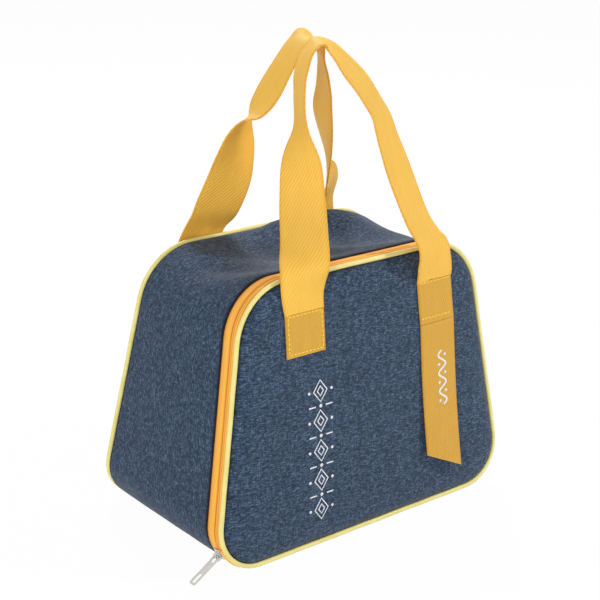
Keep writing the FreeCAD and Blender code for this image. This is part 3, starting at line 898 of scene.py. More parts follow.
@dataclass
class SideWalls:
    """Left, top and right wall in one strip, and the base strip under it."""

    finishes: Finishes
    sag: float = 7.0
    ridge: float = 1.0
    hump: float = 13.0
    belly: float = 2.2
    top_level: float = 150.0
    top_half: float = 118.0
    top_ease: float = 45.0
    ridge_at: tuple[float, float] = (0.12, 0.07)
    hump_at: tuple[float, float] = (0.88, 0.13)
    hump_start: tuple[float, float] = (-25.0, 28.0)
    hump_end: tuple[float, float] = (35.0, 65.0)
    belly_foot: float = 60.0
    fold: tuple[float, float, float] = (0.9, 0.45, 1.1)
    fold_size: tuple[float, float] = (34.0, 17.0)
    tuck: tuple[float, float] = (0.5, 1.2)
    # Most and reach of the painted shade in the creases along the walls' seams
    seam_shade: tuple[float, float] = (0.97, 1.7)
    inner_set_back: float = 0.8
    base_steps: int = 28
    strip_width: float = 200.0
    strip_thick: float = 0.4
    strip_steps: int = 20
    strip_line: tuple[tuple[float, float], ...] = (
        (-50.0, 7.3), (-56.0, 7.3), (-60.0, 7.3), (-63.0, 7.8), (-65.2, 9.0), (-66.4, 11.0), (-66.7, 13.5),
        (-66.5, 16.0), (-66.2, 19.0))
    shares: tuple[float, ...] = (
        0.0, 0.005, 0.01, 0.015, 0.03, 0.06, 0.10, 0.15, 0.21, 0.27, 0.33, 0.40, 0.47, 0.54, 0.61, 0.68, 0.74,
        0.80, 0.86, 0.91, 0.95, 0.975, 0.99, 1.0)

    def hang(self, distance: float, share: float, x: float, z: float) -> float:
        """How far the wall stands out from its flat line.

        Args:
            distance: Length along the strip from the left foot.
            share: Place from the zip, 0, to the rear piping, 1.
            x: Place across the bag.
            z: Level.

        Returns:
            Millimetres outwards.
        """
        held = 1 - abs(2 * share - 1) ** 4
        top = ease((z - self.top_level) / self.top_ease) * ease((self.top_half - abs(x)) / self.top_ease)
        dip = -self.sag * top * math.sin(math.pi * share ** 0.8) ** 1.6
        ridge = self.ridge * top * bell(share - self.ridge_at[0], self.ridge_at[1])
        (start, rising), (end, falling) = self.hump_start, self.hump_end
        swell = ease((x - start) / rising) * (1 - ease((x - end) / falling))
        hump = self.hump * top * swell * bell(share - self.hump_at[0], self.hump_at[1])
        side = self.belly * (1 - top) * math.sin(math.pi * share) * ease(z / self.belly_foot)
        broad, fine, slant = self.fold
        folds = broad * ripple(distance * 0.8, share * 60, 0.0, self.fold_size[0])
        folds += fine * ripple(distance, share * 130, 9.0, self.fold_size[1])
        lean = (distance + share * 95) / 11 + 2 * ripple(distance, share * 80, 4.0, 50)
        slanted = slant * top * math.sin(lean)
        return dip + (side + ridge + hump + slanted + folds * (0.5 + 0.7 * top)) * held

    def strip(self, depth: float, front: float, thick: float) -> BMesh:
        """Closed layer of the walls.

        Args:
            depth: Depth of its outer face inside the cloth's outer face.
            front: Depth of its front edge behind the front.
            thick: Thickness.

        Returns:
            The mesh, placed on the bag.
        """
        bm = sweep(GUSSET_LINE, [(share, PIPING_PROUD + depth) for share in self.shares], 6.0, ring=False)
        layer = bm.verts.layers.float_vector.new(CLOTH)
        for vert in bm.verts:
            share = vert.co.y
            distance, _, away = GUSSET_LINE.place(vert.co)
            level = vert.co.z
            near, far = front_y(level, front), -front_y(level, CLOTH_EDGE)
            y = near + (far - near) * share
            edge = min(share, 1 - share) * (far - near)
            tuck = self.tuck[0] * bell(edge, self.tuck[1])
            out = self.hang(distance, share, vert.co.x, level) - tuck
            # Painted shade in the creases where the wall meets the zip and the rear piping
            shade = self.seam_shade[0] * math.exp(-(edge / self.seam_shade[1]) ** 4)
            vert[layer] = Vector((distance * MM, y * MM, shade))
            vert.co = Vector((vert.co.x + away.x * out, y, vert.co.z + away.z * out))
        middle = Vector((0, 0, HEIGHT / 2))
        thicken(bm, thick, lambda face: face.normal.dot(face.calc_center_median() - middle))
        return bm

    def build(self) -> None:
        """Make the walls' cloth, padding, lining and bound edge, and the base."""
        inner_front = SIDE_START + self.inner_set_back
        made = self.finishes
        layers = (
            ("cloth", 0.0, FABRIC_T, SIDE_START, made.heather, "heather_fabric", "fabric"),
            ("padding", FABRIC_T + LAYER_GAP, FOAM_T - 2 * LAYER_GAP, inner_front, made.foam, "foam", "foam"),
            ("lining", FABRIC_T + FOAM_T, LINER_T, inner_front, made.foil, "foil_liner", "liner"),
        )
        for word, depth, thick, front, finish, slot, node in layers:
            wall = make_piece("side_walls_" + word, self.strip(depth, front, thick), finish, "bag",
                              ["gusset_" + node], turn=False)
            base = make_piece("base_strip_" + word, self.base_strip(depth, thick), finish, "bag",
                              ["base_" + node], turn=False)
        self.binding()
        self.hinge_strip()

    def hinge_strip(self) -> None:
        """Tape inside the base seam, which bends from the base up the flap's lining."""
        bm = bmesh.new()
        _, edges = add_line(bm, [(-self.strip_width / 2, y, z) for y, z in self.strip_line], False)
        for _ in range(self.strip_steps):
            _, edges = draw_on(bm, edges, (self.strip_width / self.strip_steps, 0, 0))
        mark_cloth(bm, lambda co: (co.x, co.y - co.z, 0.0))
        thicken(bm, self.strip_thick, lambda face: face.normal.z)
        strip = make_piece("base_hinge_strip", bm, self.finishes.binding, None, turn=False)
        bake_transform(strip)

    def base_strip(self, depth: float, thick: float) -> BMesh:
        """Layer of the base, from one foot seam to the other."""
        bm = bmesh.new()
        foot = Outline(HEIGHT, BASE_CORNER_R - PIPING_PROUD)
        left, right = foot.legs[0], foot.legs[-1]
        spot = left.at(0.0, PIPING_PROUD + depth)[0]
        verts, edges = add_line(bm, [(spot.x, share, spot.z) for share in self.shares], False)
        corner = {"axis": (0, -1, 0), "steps": 8, "use_merge": False, "use_duplicate": False}
        turn = math.radians(270 - SEAM_ANGLE)
        bmesh.ops.spin(bm, geom=verts + edges, cent=left.centre, angle=-turn, **corner)
        first = set(verts)
        edges = [e for e in bm.edges if first.issuperset(e.verts)]
        for _ in range(self.base_steps):
            verts, edges = draw_on(bm, edges, (right.centre - left.centre) / self.base_steps)
        bmesh.ops.spin(bm, geom=verts + edges, cent=right.centre, angle=turn, **corner)
        for vert in bm.verts:
            near, far = front_y(vert.co.z, PIPING_D + 0.3), -front_y(vert.co.z, CLOTH_EDGE)
            vert.co.y = near + (far - near) * vert.co.y
        mark_cloth(bm, lambda co: (co.x, co.y, 0.0))
        thicken(bm, thick, lambda face: -face.normal.z)
        return bm

    def binding(self) -> None:
        """Binding folded over the edge of the opening."""
        inner = FABRIC_T + FOAM_T + LINER_T + PIPING_PROUD
        profile = ((0.0, PIPING_PROUD + FABRIC_T), (0.8, PIPING_PROUD + FABRIC_T), (0.8, inner), (8.6, inner),
                   (9.0, inner + 0.4), (8.4, inner + 0.8), (0.8, inner + 0.8), (0.0, inner + 0.4))
        bm = sweep(GUSSET_LINE, profile, 7.0)
        mark_cloth(bm, lambda co: (GUSSET_LINE.place(co)[0], co.y, 0.0))
        for vert in bm.verts:
            depth = SIDE_START + vert.co.y
            distance, _, away = GUSSET_LINE.place(vert.co)
            level = vert.co.z
            share = vert.co.y / (front_y(level, 0) * -2)
            out = self.hang(distance, share, vert.co.x, level)
            vert.co = Vector((vert.co.x + away.x * out, front_y(level, depth), vert.co.z + away.z * out))
        make_piece("opening_edge_binding", bm, self.finishes.binding, "bag", ["opening_binding"])


@dataclass
class ZipFastener:
    """Reverse coil zip round the opening: two tapes with a groove between, their coils and stops."""

    finishes: Finishes
    coil_pitch: float = 1.9
    coil_turn: tuple[float, float, float] = (0.72, 0.82, 0.62)
    coil_inset: float = ZIP_INSET + 1.55
    coil_depths: tuple[float, float] = (8.45, 10.35)
    slider_clear: float = 2.0
    slider_run: tuple[float, float] = (5.0, 20.0)
    end_gap: float = 0.2
    end_steps: int = 12
    bag_coil_angle: float = 218.0
    tape_end_angle: float = 201.2
    seam_end: float = SEAM_ANGLE - 1.6
    # Place, width and strength of each band of painted groove shade, across the tapes' depth
    painted_groove_shades: tuple[tuple[float, float, float], ...] = (
        (3.5, 0.5, 0.8), (6.3, 0.6, 0.55), (9.4, 0.7, 0.9), (17.7, 1.0, 0.9))
    flap_tape: tuple[tuple[float, float], ...] = (
        (3.5, 2.6), (3.7, 1.7), (4.3, 1.15), (5.1, 1.1), (5.8, 1.4), (6.3, 1.8), (6.8, 1.6), (7.5, 1.65),
        (8.2, 1.95), (8.7, 2.4), (9.05, 2.8), (9.2, 3.3), (3.5, 3.3))
    bag_tape: tuple[tuple[float, float], ...] = (
        (9.6, 3.3), (9.75, 2.8), (10.3, 2.2), (11.2, 1.8), (12.2, 1.65), (13.2, 1.75), (14.2, 2.2),
        (15.0, 2.5), (16.6, 2.55), (17.7, 2.6), (17.7, 3.3))

    def band(self, name: str, end_angle: float, profile: Sequence[tuple[float, float]], body: str,
             stands_for: Sequence[str]) -> None:
        """Draw a shaped tape along the zip's outline.

        Args:
            name: Name of the piece.
            end_angle: Angle of its ends on the feet.
            profile: Depth and inset of its points.
            body: Body that it rides on.
            stands_for: Solids that it replaces.
        """
        line = zip_line(end_angle)
        bm = sweep(line, profile, 4.5)
        mark_cloth(bm, lambda co: (line.place(co)[0], co.y, self.painted_groove_shade(co.y)))
        for vert in bm.verts:
            distance, outside, away = line.place(vert.co)
            past = min(distance, line.length - distance) - line.legs[0].length
            near = 1 - ease((past - self.slider_run[0]) / self.slider_run[1])
            vert.co -= away * near * max(0.0, self.slider_clear + outside)
        self.stand(bm)
        make_piece(name, bm, self.finishes.tape, body, stands_for, sharp=60)

    def painted_groove_shade(self, depth: float) -> float:
        """Share of the painted shade in the grooves between the ridges of the tapes and at their edges."""
        return max(most * bell(depth - place, wide) for place, wide, most in self.painted_groove_shades)

    def stand(self, bm: BMesh) -> None:
        """Move a mesh from the zip's own plane to the leaning front."""
        place = Side.FRONT.matrix @ Matrix.Translation((0, 0, ZIP_RISE))
        bmesh.ops.transform(bm, matrix=place, verts=bm.verts)

    def build(self) -> None:
        """Make the tapes, coils and tape ends, and give the stops their plated finish."""
        self.band("flap_zip_band", FLAP_ZIP_ANGLE, self.flap_tape, "flap", ["flap_zip_tape"])
        self.band("bag_zip_band", self.seam_end, self.bag_tape, "bag", ["body_zip_tape"])
        self.tape_ends()
        self.coil("flap_coil", FLAP_ZIP_ANGLE, self.coil_depths[0], "flap", "flap_zip_coil")
        self.coil("bag_coil", self.bag_coil_angle, self.coil_depths[1], "bag", "body_zip_coil")
        for side in ("left", "right"):
            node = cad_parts["zip_stop_" + side]
            node.data.materials.clear()
            node.data.materials.append(self.finishes.plate)

    def tape_ends(self) -> None:
        """Ends of the flap's tape that are caught in the foot seams of the bag."""
        line = zip_line(self.seam_end)
        first = math.radians(self.tape_end_angle)
        turn = math.radians(self.seam_end - self.tape_end_angle)
        for side, leg, sign in (("left", line.legs[0], 1), ("right", line.legs[-1], -1)):
            start = first if sign > 0 else math.pi - first
            outward = Vector((math.cos(start), 0, math.sin(start)))
            bm = bmesh.new()
            spots = [leg.centre + outward * (BASE_CORNER_R - inset) + Vector((0, depth + self.end_gap, 0))
                     for depth, inset in self.flap_tape]
            verts, edges = add_line(bm, spots, True)
            bmesh.ops.spin(bm, geom=verts + edges, cent=leg.centre, axis=(0, -1, 0), angle=sign * turn,
                           steps=self.end_steps, use_merge=False, use_duplicate=False)
            close_ends(bm)
            mark_cloth(bm, lambda co: (line.place(co)[0], co.y, 0.0))
            self.stand(bm)
            make_piece("zip_band_end_" + side, bm, self.finishes.tape, "bag",
                       ["zip_tape_end_" + side], sharp=60)

    def coil(self, name: str, end_angle: float, depth: float, body: str, node: str) -> None:
        """Row of coil turns on the inner face of a tape.

        Args:
            name: Name of the piece.
            end_angle: Angle of its ends on the feet.
            depth: Depth of the middle of the turns.
            body: Body that it rides on.
            node: Solid that it replaces.
        """
        line = zip_line(end_angle)
        bm = bmesh.new()
        shape = bmesh.ops.create_icosphere(bm, subdivisions=1, radius=1.0)["verts"]
        bmesh.ops.transform(bm, matrix=Matrix.Diagonal((*self.coil_turn, 1)), verts=shape)
        pattern = list(dict.fromkeys(face for vert in shape for face in vert.link_faces))
        for leg in line.legs:
            count = max(1, round(leg.length / self.coil_pitch))
            for step in range(count):
                spot, outward = leg.at((step + 0.5) / count, self.coil_inset)
                made = bmesh.ops.duplicate(bm, geom=pattern)["geom"]
                turned = Matrix.Rotation(-math.atan2(outward.z, outward.x), 4, "Y")
                move = Matrix.Translation((spot.x, depth, spot.z)) @ turned
                fresh = parts_of(made, BMVert)
                bmesh.ops.transform(bm, matrix=move, verts=fresh)
        bmesh.ops.delete(bm, geom=shape, context="VERTS")
        self.stand(bm)
        make_piece(name, bm, self.finishes.coil, body, [node], sharp=180)


@dataclass
class SliderAndPull:
    """Zip slider with its bridge, and the flat pull that hangs from it."""

    finishes: Finishes
    upper_plate: tuple[float, float] = (0.72, 1.8)
    lower_plate: tuple[float, float] = (-4.1, -3.0)
    # Post between the plates, two guiding lips, two feet of the bridge and its bar
    blocks: tuple[tuple[tuple[float, float, float], tuple[float, float, float]], ...] = (
        ((-3.2, -0.12, 2.1), (0.9, 0.12, 4.5)),
        ((-3.2, -3.25, -4.2), (-1.45, -2.45, 2.0)), ((-3.2, 2.45, -4.2), (-1.45, 3.25, 2.0)),
        ((1.6, -0.8, -3.4), (4.5, 0.8, -2.2)), ((1.6, -0.8, 2.2), (4.5, 0.8, 3.4)),
        ((4.2, -0.8, -3.4), (5.4, 0.8, 3.4)))
    edge: float = 0.22
    plate_edge: float = 0.35
    pull_edge: float = 0.25
    pull_corner: float = 1.4
    pull_thick: float = 1.0
    hook: float = 2.9985
    columns: tuple[float, ...] = (-0.6, 0.6, 6.2, 17.0, 25.0, 26.4)
    rows: tuple[float, ...] = (-3.0, -1.6, 1.6, 3.0)

    @property
    def matrix(self) -> Matrix:
        """From the slider's own frame, X outward from the tape, to the shared frame."""
        centre = zip_line(270.0).base
        return (Side.FRONT.matrix @ Matrix.Translation((-centre.x, 0, centre.z + ZIP_RISE))
                @ Matrix.Rotation(-math.radians(SLIDER_ANGLE), 4, "Y")
                @ Matrix.Translation((BASE_CORNER_R - ZIP_INSET, ZIP_LINE, 0)))

    def round_edges(self, bm: BMesh, edges: list, width: float, segments: int) -> None:
        """Round the given edges of a mesh."""
        bmesh.ops.bevel(bm, geom=edges, offset=width, offset_type="OFFSET", affect="EDGES", segments=segments,
                        profile=0.5, material=-1, clamp_overlap=True)

    def soften(self, bm: BMesh, width: float) -> None:
        """Round the sharp edges of a mesh."""
        sharp = [e for e in bm.edges if len(e.link_faces) == 2 and e.calc_face_angle(0.0) > 0.6]
        self.round_edges(bm, sharp, width, 2)

    def raise_faces(self, bm: BMesh, move: Sequence[float]) -> None:
        """Extrude every face of a flat mesh into a closed plate."""
        made = bmesh.ops.extrude_face_region(bm, geom=bm.faces[:])["geom"]
        fresh = parts_of(made, BMVert)
        bmesh.ops.translate(bm, verts=fresh, vec=move)
        bmesh.ops.recalc_face_normals(bm, faces=bm.faces)

    def plate(self, low: float, high: float) -> BMesh:
        """Slider plate, wide at the nose and drawn in at the tail."""
        bm = bmesh.new()
        right = ((3.3, -4.5), (3.7, -2.2), (4.0, 0.4), (4.0, 2.6), (3.3, 3.9), (2.2, 4.5))
        ring = [bm.verts.new((low, y, z)) for y, z in right]
        ring += [bm.verts.new((low, -y, z)) for y, z in right[::-1]]
        bm.faces.new(ring)
        self.raise_faces(bm, (high - low, 0, 0))
        self.soften(bm, self.plate_edge)
        return bm

    def block(self, bm: BMesh, low: Sequence[float], high: Sequence[float]) -> None:
        """Add a softened block between two corners."""
        part = bmesh.new()
        middle = [(a + b) / 2 for a, b in zip(low, high)]
        size = [b - a for a, b in zip(low, high)]
        place = Matrix.Translation(middle) @ Matrix.Diagonal((*size, 1))
        bmesh.ops.create_cube(part, size=1.0, matrix=place)
        self.soften(part, self.edge)
        self.join(bm, part)

    def join(self, bm: BMesh, part: BMesh) -> None:
        """Add one mesh to another and free it."""
        mesh = bpy.data.meshes.new("slider_part")
        part.to_mesh(mesh)
        part.free()
        bm.from_mesh(mesh)
        bpy.data.meshes.remove(mesh)

    def build(self) -> None:
        """Make the slider and the pull."""
        bm = self.plate(*self.upper_plate)
        self.join(bm, self.plate(*self.lower_plate))
        for low, high in self.blocks:
            self.block(bm, low, high)
        bmesh.ops.transform(bm, matrix=self.matrix, verts=bm.verts)
        make_piece("slider_body", bm, self.finishes.plate, "slider", ["zip_slider"])
        self.pull()

    def pull(self) -> None:
        """Flat pull with a slot at the bridge, a plain middle and a window at its end."""
        bm = bmesh.new()
        grid = bmesh.ops.create_grid(bm, x_segments=5, y_segments=3, size=1.0)["verts"]
        for vert in grid:
            column, row = round((vert.co.x + 1) * 2.5), round((vert.co.y + 1) * 1.5)
            vert.co = Vector((self.columns[column], self.rows[row], -self.pull_thick / 2))
        _, slot_start, slot_end, window_start, window_end, end = self.columns
        gaps = []
        for face in bm.faces:
            spot = face.calc_center_median()
            if abs(spot.y) < 1 and (slot_start < spot.x < slot_end or window_start < spot.x < window_end):
                gaps.append(face)
        bmesh.ops.delete(bm, geom=gaps, context="FACES")
        self.raise_faces(bm, (0, 0, self.pull_thick))
        corners = []
        for edge in bm.edges:
            first, last = (vert.co for vert in edge.verts)
            upright = abs(first.z - last.z) > self.pull_thick / 2
            if upright and min(first.x, last.x) > end - 0.4 and abs(first.y) > self.rows[-1] - 0.1:
                corners.append(edge)
        self.round_edges(bm, corners, self.pull_corner, 5)
        self.soften(bm, self.pull_edge)
        bmesh.ops.transform(bm, matrix=self.matrix @ Matrix.Translation((self.hook, 0, 0)), verts=bm.verts)
        make_piece("pull_tab", bm, self.finishes.plate, "pull", ["zip_pull"])


# Carry loops: place across, rise and reach inwards as shares, and the webbing's turn in degrees.
# Each foot has its place across, its turn and how far it bows off the panel in millimetres.
# Most of the loops' numbers are rounded results of a fit of the webbing's edges to the photograph.
FRONT_FEET = (
    (-1.0, 0, 0), (-1.02, -6, 0), (-1.02, -24, 0), (0.85, -166, 6.5), (0.95, -176, 3.5), (1.0, -180, 0))
FRONT_LOOP = (
    (-0.89, 0.24, 0.12, -58), (-0.75, 0.39, 0.455, -64), (-0.72, 0.54, 0.57, -77), (-0.69, 0.68, 0.68, -114),
    (-0.61, 0.81, 0.86, -118), (-0.54, 0.89, 0.95, -117), (-0.45, 0.955, 0.97, -121),
    (-0.32, 0.99, 0.93, -128), (-0.17, 0.96, 0.84, -138), (0.02, 0.89, 0.76, -146), (0.23, 0.81, 0.69, -149),
    (0.39, 0.725, 0.62, -148), (0.475, 0.655, 0.55, -153), (0.545, 0.565, 0.47, -156),
    (0.665, 0.44, 0.36, -161), (0.79, 0.26, 0.07, -161))
REAR_FEET = (
    (-1.0, 0, 0), (-0.975, 3, 0), (-0.87, 6, 0), (0.99, -19, 0), (1.01, -9, 0), (1.0, 0, 0))
REAR_LOOP = (
    (-0.80, 0.245, 0.18, 20), (-0.715, 0.37, 0.36, 18), (-0.68, 0.48, 0.475, 2), (-0.66, 0.575, 0.566, -17),
    (-0.60, 0.643, 0.645, -38), (-0.515, 0.675, 0.725, -67), (-0.39, 0.745, 0.807, -79),
    (-0.22, 0.86, 0.91, -75), (-0.04, 0.955, 0.97, -69), (0.115, 0.965, 1.0, -61), (0.27, 0.92, 0.952, -55),
    (0.41, 0.84, 0.867, -59), (0.507, 0.738, 0.747, -67), (0.553, 0.618, 0.65, -73), (0.69, 0.466, 0.52, -61),
    (0.822, 0.326, 0.38, -44), (0.935, 0.262, 0.2, -36))


def webbing_profile(width: float, thick: float) -> list[tuple[float, float]]:
    """Cross-section of woven webbing: flat faces, rounded selvages."""
    shares = (-1.0, -0.985, -0.95, -0.6, -0.2, 0.2, 0.6, 0.95, 0.985, 1.0)
    fulls = (0.35, 0.8, 1.0, 1.0, 1.0, 1.0, 1.0, 1.0, 0.8, 0.35)
    lower = [(a * width / 2, -f * thick / 2) for a, f in zip(shares, fulls)]
    return lower + [(a, -f) for a, f in lower[::-1]]


@dataclass
class CarryHandle:
    """One twisted webbing loop with its two sewn ends and their stitches."""

    side: Side
    panel: PaddedPanel
    finishes: Finishes
    steps: int = 6
    clear: float = 0.35
    row_inset: float = 2.2
    top_inset: float = 1.2

    @property
    def shift(self) -> float:
        """How far the loop stands off the middle of the panel."""
        return FRONT_SHIFT if self.side is Side.FRONT else 0.0

    def stations(self) -> list[list[float]]:
        """Centre points and turns along the loop, drawn on the front of the bag."""
        feet, loop = (FRONT_FEET, FRONT_LOOP) if self.side is Side.FRONT else (REAR_FEET, REAR_LOOP)
        matrix = Side.FRONT.matrix
        half = HANDLE_SPACING / 2
        levels = (SEWN_HIGH + 0.3, (SEWN_HIGH + SLANT) / 2, SLANT + PIPING_D)
        found = []
        for level, (across, turn, off) in zip(levels + levels[::-1], feet):
            x = self.shift + across * half
            tilted = WEB_WIDTH / 2 * abs(math.sin(math.radians(turn)))
            face = 0.0 if level == levels[2] else self.panel.face_depth(x, level)
            depth = face - tilted - WEB_T / 2 - self.clear - off
            found.append([*(matrix @ Vector((x, depth, level))), turn])
        foot = matrix @ Vector((0, 0, LOOP_FOOT))
        reach = -foot.y - (WEB_WIDTH + HANDLE_GAP) / 2
        free = []
        for across, rise, inward, turn in loop:
            spot = (self.shift + across * half, foot.y + inward * reach, foot.z + rise * HANDLE_RISE)
            free.append([*spot, turn])
        return found[:3] + free + found[3:]

    def curve(self) -> list[list[float]]:
        """Closer stations on a smooth curve through the given ones."""
        values = self.stations()
        padded = [values[0]] + values + [values[-1]]
        found = []
        for index in range(len(values) - 1):
            group = padded[index:index + 4]
            for step in range(self.steps):
                t = step / self.steps
                found.append([
                    0.5 * (2 * b + (c - a) * t + (2 * a - 5 * b + 4 * c - d) * t ** 2
                           + (3 * b - a - 3 * c + d) * t ** 3) for a, b, c, d in zip(*group)])
        return found + [values[-1]]

    def frames(self) -> list[tuple[Matrix, float]]:
        """Frame of the webbing's section at each station, and the length gone."""
        curve = self.curve()
        centres = [Vector(station[:3]) for station in curve]
        upward = Side.FRONT.matrix.to_3x3() @ Vector((0, 0, 1))
        found = []
        gone = 0.0
        for index, station in enumerate(curve):
            if index == 0:
                along = upward.copy()
            elif index == len(curve) - 1:
                along = -upward
            else:
                along = centres[index + 1] - centres[index - 1]
            along.normalize()
            turn = math.radians(station[3])
            across = Vector((math.cos(turn), math.sin(turn), 0))
            across = (across - along * across.dot(along)).normalized()
            face = along.cross(across)
            if index:
                gone += (centres[index] - centres[index - 1]).length
            columns = Matrix((across, face, along)).transposed().to_4x4()
            found.append((Matrix.Translation(centres[index]) @ columns, gone))
        return found

    def loop(self) -> BMesh:
        """Webbing drawn along the loop, ring by ring."""
        bm = bmesh.new()
        layer = bm.verts.layers.float_vector.new(CLOTH)
        profile = webbing_profile(WEB_WIDTH, WEB_T)
        order, edges = add_line(bm, [(a, f, 0) for a, f in profile], True)
        last = Matrix.Identity(4)
        for index, (place, gone) in enumerate(self.frames()):
            if index:
                fresh, edges = draw_on(bm, edges)
                known = set(fresh)
                order = [next(other for other in (edge.other_vert(vert) for edge in vert.link_edges)
                              if other in known) for vert in order]
            bmesh.ops.transform(bm, matrix=place @ last.inverted(), verts=order)
            last = place
            for vert, (a, _) in zip(order, profile):
                vert[layer] = Vector((gone * MM, a * MM, 0))
        close_ends(bm)
        if self.side is Side.REAR:
            bmesh.ops.transform(bm, matrix=Matrix.Diagonal((1, -1, 1, 1)), verts=bm.verts)
        return bm

    def build(self) -> None:
        """Make the loop, its ends and the stitches."""
        word = self.side.word
        make_piece(word + "_carry_loop", self.loop(), self.finishes.webbing, word + "_handle",
                   [word + "_handle"], sharp=70)
        for end, sign in (("left", -1), ("right", 1)):
            x = self.shift + sign * HANDLE_SPACING / 2
            drift = PATCH_DRIFT if sign > 0 and self.side is Side.FRONT else 0.0
            low = LEFT_LOW if sign < 0 and self.side is Side.FRONT else SEWN_LOW
            patch = WebbingPatch(self.panel, x, low, low, SEWN_HIGH, drift=drift)
            make_piece("%s_sewn_end_%s" % (word, end), patch.mesh(), self.finishes.shade_painted_webbing,
                       self.side.body, ["%s_handle_%s_end" % (word, end)], sharp=70)
            self.stitches(end, x)

    def stitches(self, end: str, x: float) -> None:
        """Rows of thread that hold a sewn end."""
        half = WEB_WIDTH / 2 - self.row_inset
        low, high = LEFT_LOW + self.row_inset, SEWN_HIGH - self.top_inset
        rows = [((x - half, low), (x + half, low)), ((x - half, high), (x + half, high))]
        if end == "left":
            rows += [((x - half, low), (x - half, high)), ((x + half, low), (x + half, high))]
        bm = bmesh.new()
        for start, stop in rows:
            sew_row(bm, self.panel, start, stop, WEB_T)
        bmesh.ops.transform(bm, matrix=self.side.matrix, verts=bm.verts)
        make_piece("%s_sewn_end_%s_stitches" % (self.side.word, end), bm, self.finishes.thread,
                   self.side.body, sharp=180)


def sew_row(bm: BMesh, panel: PaddedPanel, start: tuple[float, float], stop: tuple[float, float],
            proud: float, pitch: float = 3.2) -> None:
    """Add a row of stitches to a mesh in a panel's own plane.

    Args:
        bm: Mesh to add to.
        panel: Panel that the row lies on.
        start: Place across and rise of its start.
        stop: Place across and rise of its end.
        proud: How far the sewn face stands off the panel.
        pitch: Length from stitch to stitch.
    """
    first, last = Vector((start[0], 0, start[1])), Vector((stop[0], 0, stop[1]))
    run = last - first
    count = max(1, round(run.length / pitch))
    angle = -math.atan2(run.z, run.x)
    for step in range(count):
        spot = first + run * ((step + 0.5) / count)
        spot.y = panel.face_depth(spot.x, spot.z) - proud - STITCH_LIFT
        shape = bmesh.ops.create_icosphere(bm, subdivisions=2, radius=1.0)["verts"]
        size = Matrix.Diagonal((run.length / count * STITCH_FILL, *STITCH_RADII, 1))
        place = Matrix.Translation(spot) @ Matrix.Rotation(angle, 4, "Y") @ size
        bmesh.ops.transform(bm, matrix=place, verts=shape)


@dataclass
class WebbingPatch:
    """Length of webbing on a panel, from its upper end down to a straight or slanting cut.

    Its lower end stands off by its lift and moves across by its drift, and its bevel slants its upper cut.
    """

    panel: PaddedPanel
    x: float
    low_left: float
    low_right: float
    high: float
    lift: float = 0.0
    drift: float = 0.0
    bevel: float = 0.0
    lift_power: float = 2.2
    drift_power: float = 1.5

    def spot(self, across: float, rise: float) -> Vector:
        """Middle of the webbing at a place across and a rise, in the panel's own plane."""
        gone = max(0.0, (self.high - rise) / (self.high - min(self.low_left, self.low_right)))
        place = self.x + across + self.drift * gone ** self.drift_power
        held = self.panel.face_depth(place, rise)
        off = self.lift * gone ** self.lift_power
        return Vector((place, held - WEB_T / 2 - LAYER_GAP - off, rise))

    def mesh(self) -> BMesh:
        """Draw the webbing's section down the panel."""
        bm = bmesh.new()
        layer = bm.verts.layers.float_vector.new(CLOTH)
        _, edges = add_line(bm, [(a, f, 0) for a, f in webbing_profile(WEB_WIDTH, WEB_T)], True)
        steps = max(6, round((self.high - min(self.low_left, self.low_right)) / 4))
        for _ in range(steps):
            _, edges = draw_on(bm, edges, (0, 0, 1 / steps))
        close_ends(bm)
        for vert in bm.verts:
            across, face, share = vert.co
            low = self.low_left + (self.low_right - self.low_left) * (across / WEB_WIDTH + 0.5)
            rise = low + (self.high - self.bevel * (0.5 - face / WEB_T) - low) * share
            vert[layer] = Vector((rise * MM, across * MM, 0))
            vert.co = self.spot(across, rise) + Vector((0, face, 0))
        bmesh.ops.transform(bm, matrix=self.panel.side.matrix, verts=bm.verts)
        return bm


def ink_stroke(bm: BMesh, points: Sequence[tuple[float, float]], width: float,
               closed: bool) -> None:
    """Add a flat printed line to a mesh in X and Z.

    Args:
        bm: Mesh to add to.
        points: Places across and rises along the line.
        width: Width of the line.
        closed: Whether it ends where it starts.
    """
    count = len(points)
    sides = []
    for index, (x, z) in enumerate(points):
        ahead = points[(index + 1) % count] if closed else points[min(index + 1, count - 1)]
        behind = points[index - 1] if closed else points[max(index - 1, 0)]
        run = Vector((ahead[0] - behind[0], 0, ahead[1] - behind[1])).normalized()
        off = Vector((-run.z, 0, run.x)) * width / 2
        spot = Vector((x, 0, z))
        sides.append((bm.verts.new(spot + off), bm.verts.new(spot - off)))
    for index in range(count if closed else count - 1):
        first, last = sides[index], sides[(index + 1) % count]
        bm.faces.new((first[0], first[1], last[1], last[0]))


def ink_dot(bm: BMesh, x: float, z: float, radius: float) -> None:
    """Add a flat printed dot to a mesh in X and Z."""
    spot = Matrix.Translation((x, 0, z)) @ Matrix.Rotation(math.pi / 2, 4, "X")
    bmesh.ops.create_circle(bm, cap_ends=True, segments=16, radius=radius, matrix=spot)


def print_on(bm: BMesh, name: str, body: str, panel: PaddedPanel, ink: Material,
             face: Callable[[float, float], Vector]) -> None:
    """Lay a flat print on a surface and make it a piece.

    Args:
        bm: Print in X and Z.
        name: Name of the piece.
        body: Body that it rides on.
        panel: Panel whose plane it is drawn in.
        ink: Its finish.
        face: From a place across and a rise to the surface under it.
    """
    for vert in bm.verts:
        vert.co = face(vert.co.x, vert.co.z) - Vector((0, LAYER_GAP, 0))
    bmesh.ops.recalc_face_normals(bm, faces=bm.faces)
    bmesh.ops.solidify(bm, geom=bm.faces[:], thickness=INK_T)
    bmesh.ops.transform(bm, matrix=panel.side.matrix, verts=bm.verts)
    make_piece(name, bm, ink, body, sharp=180)


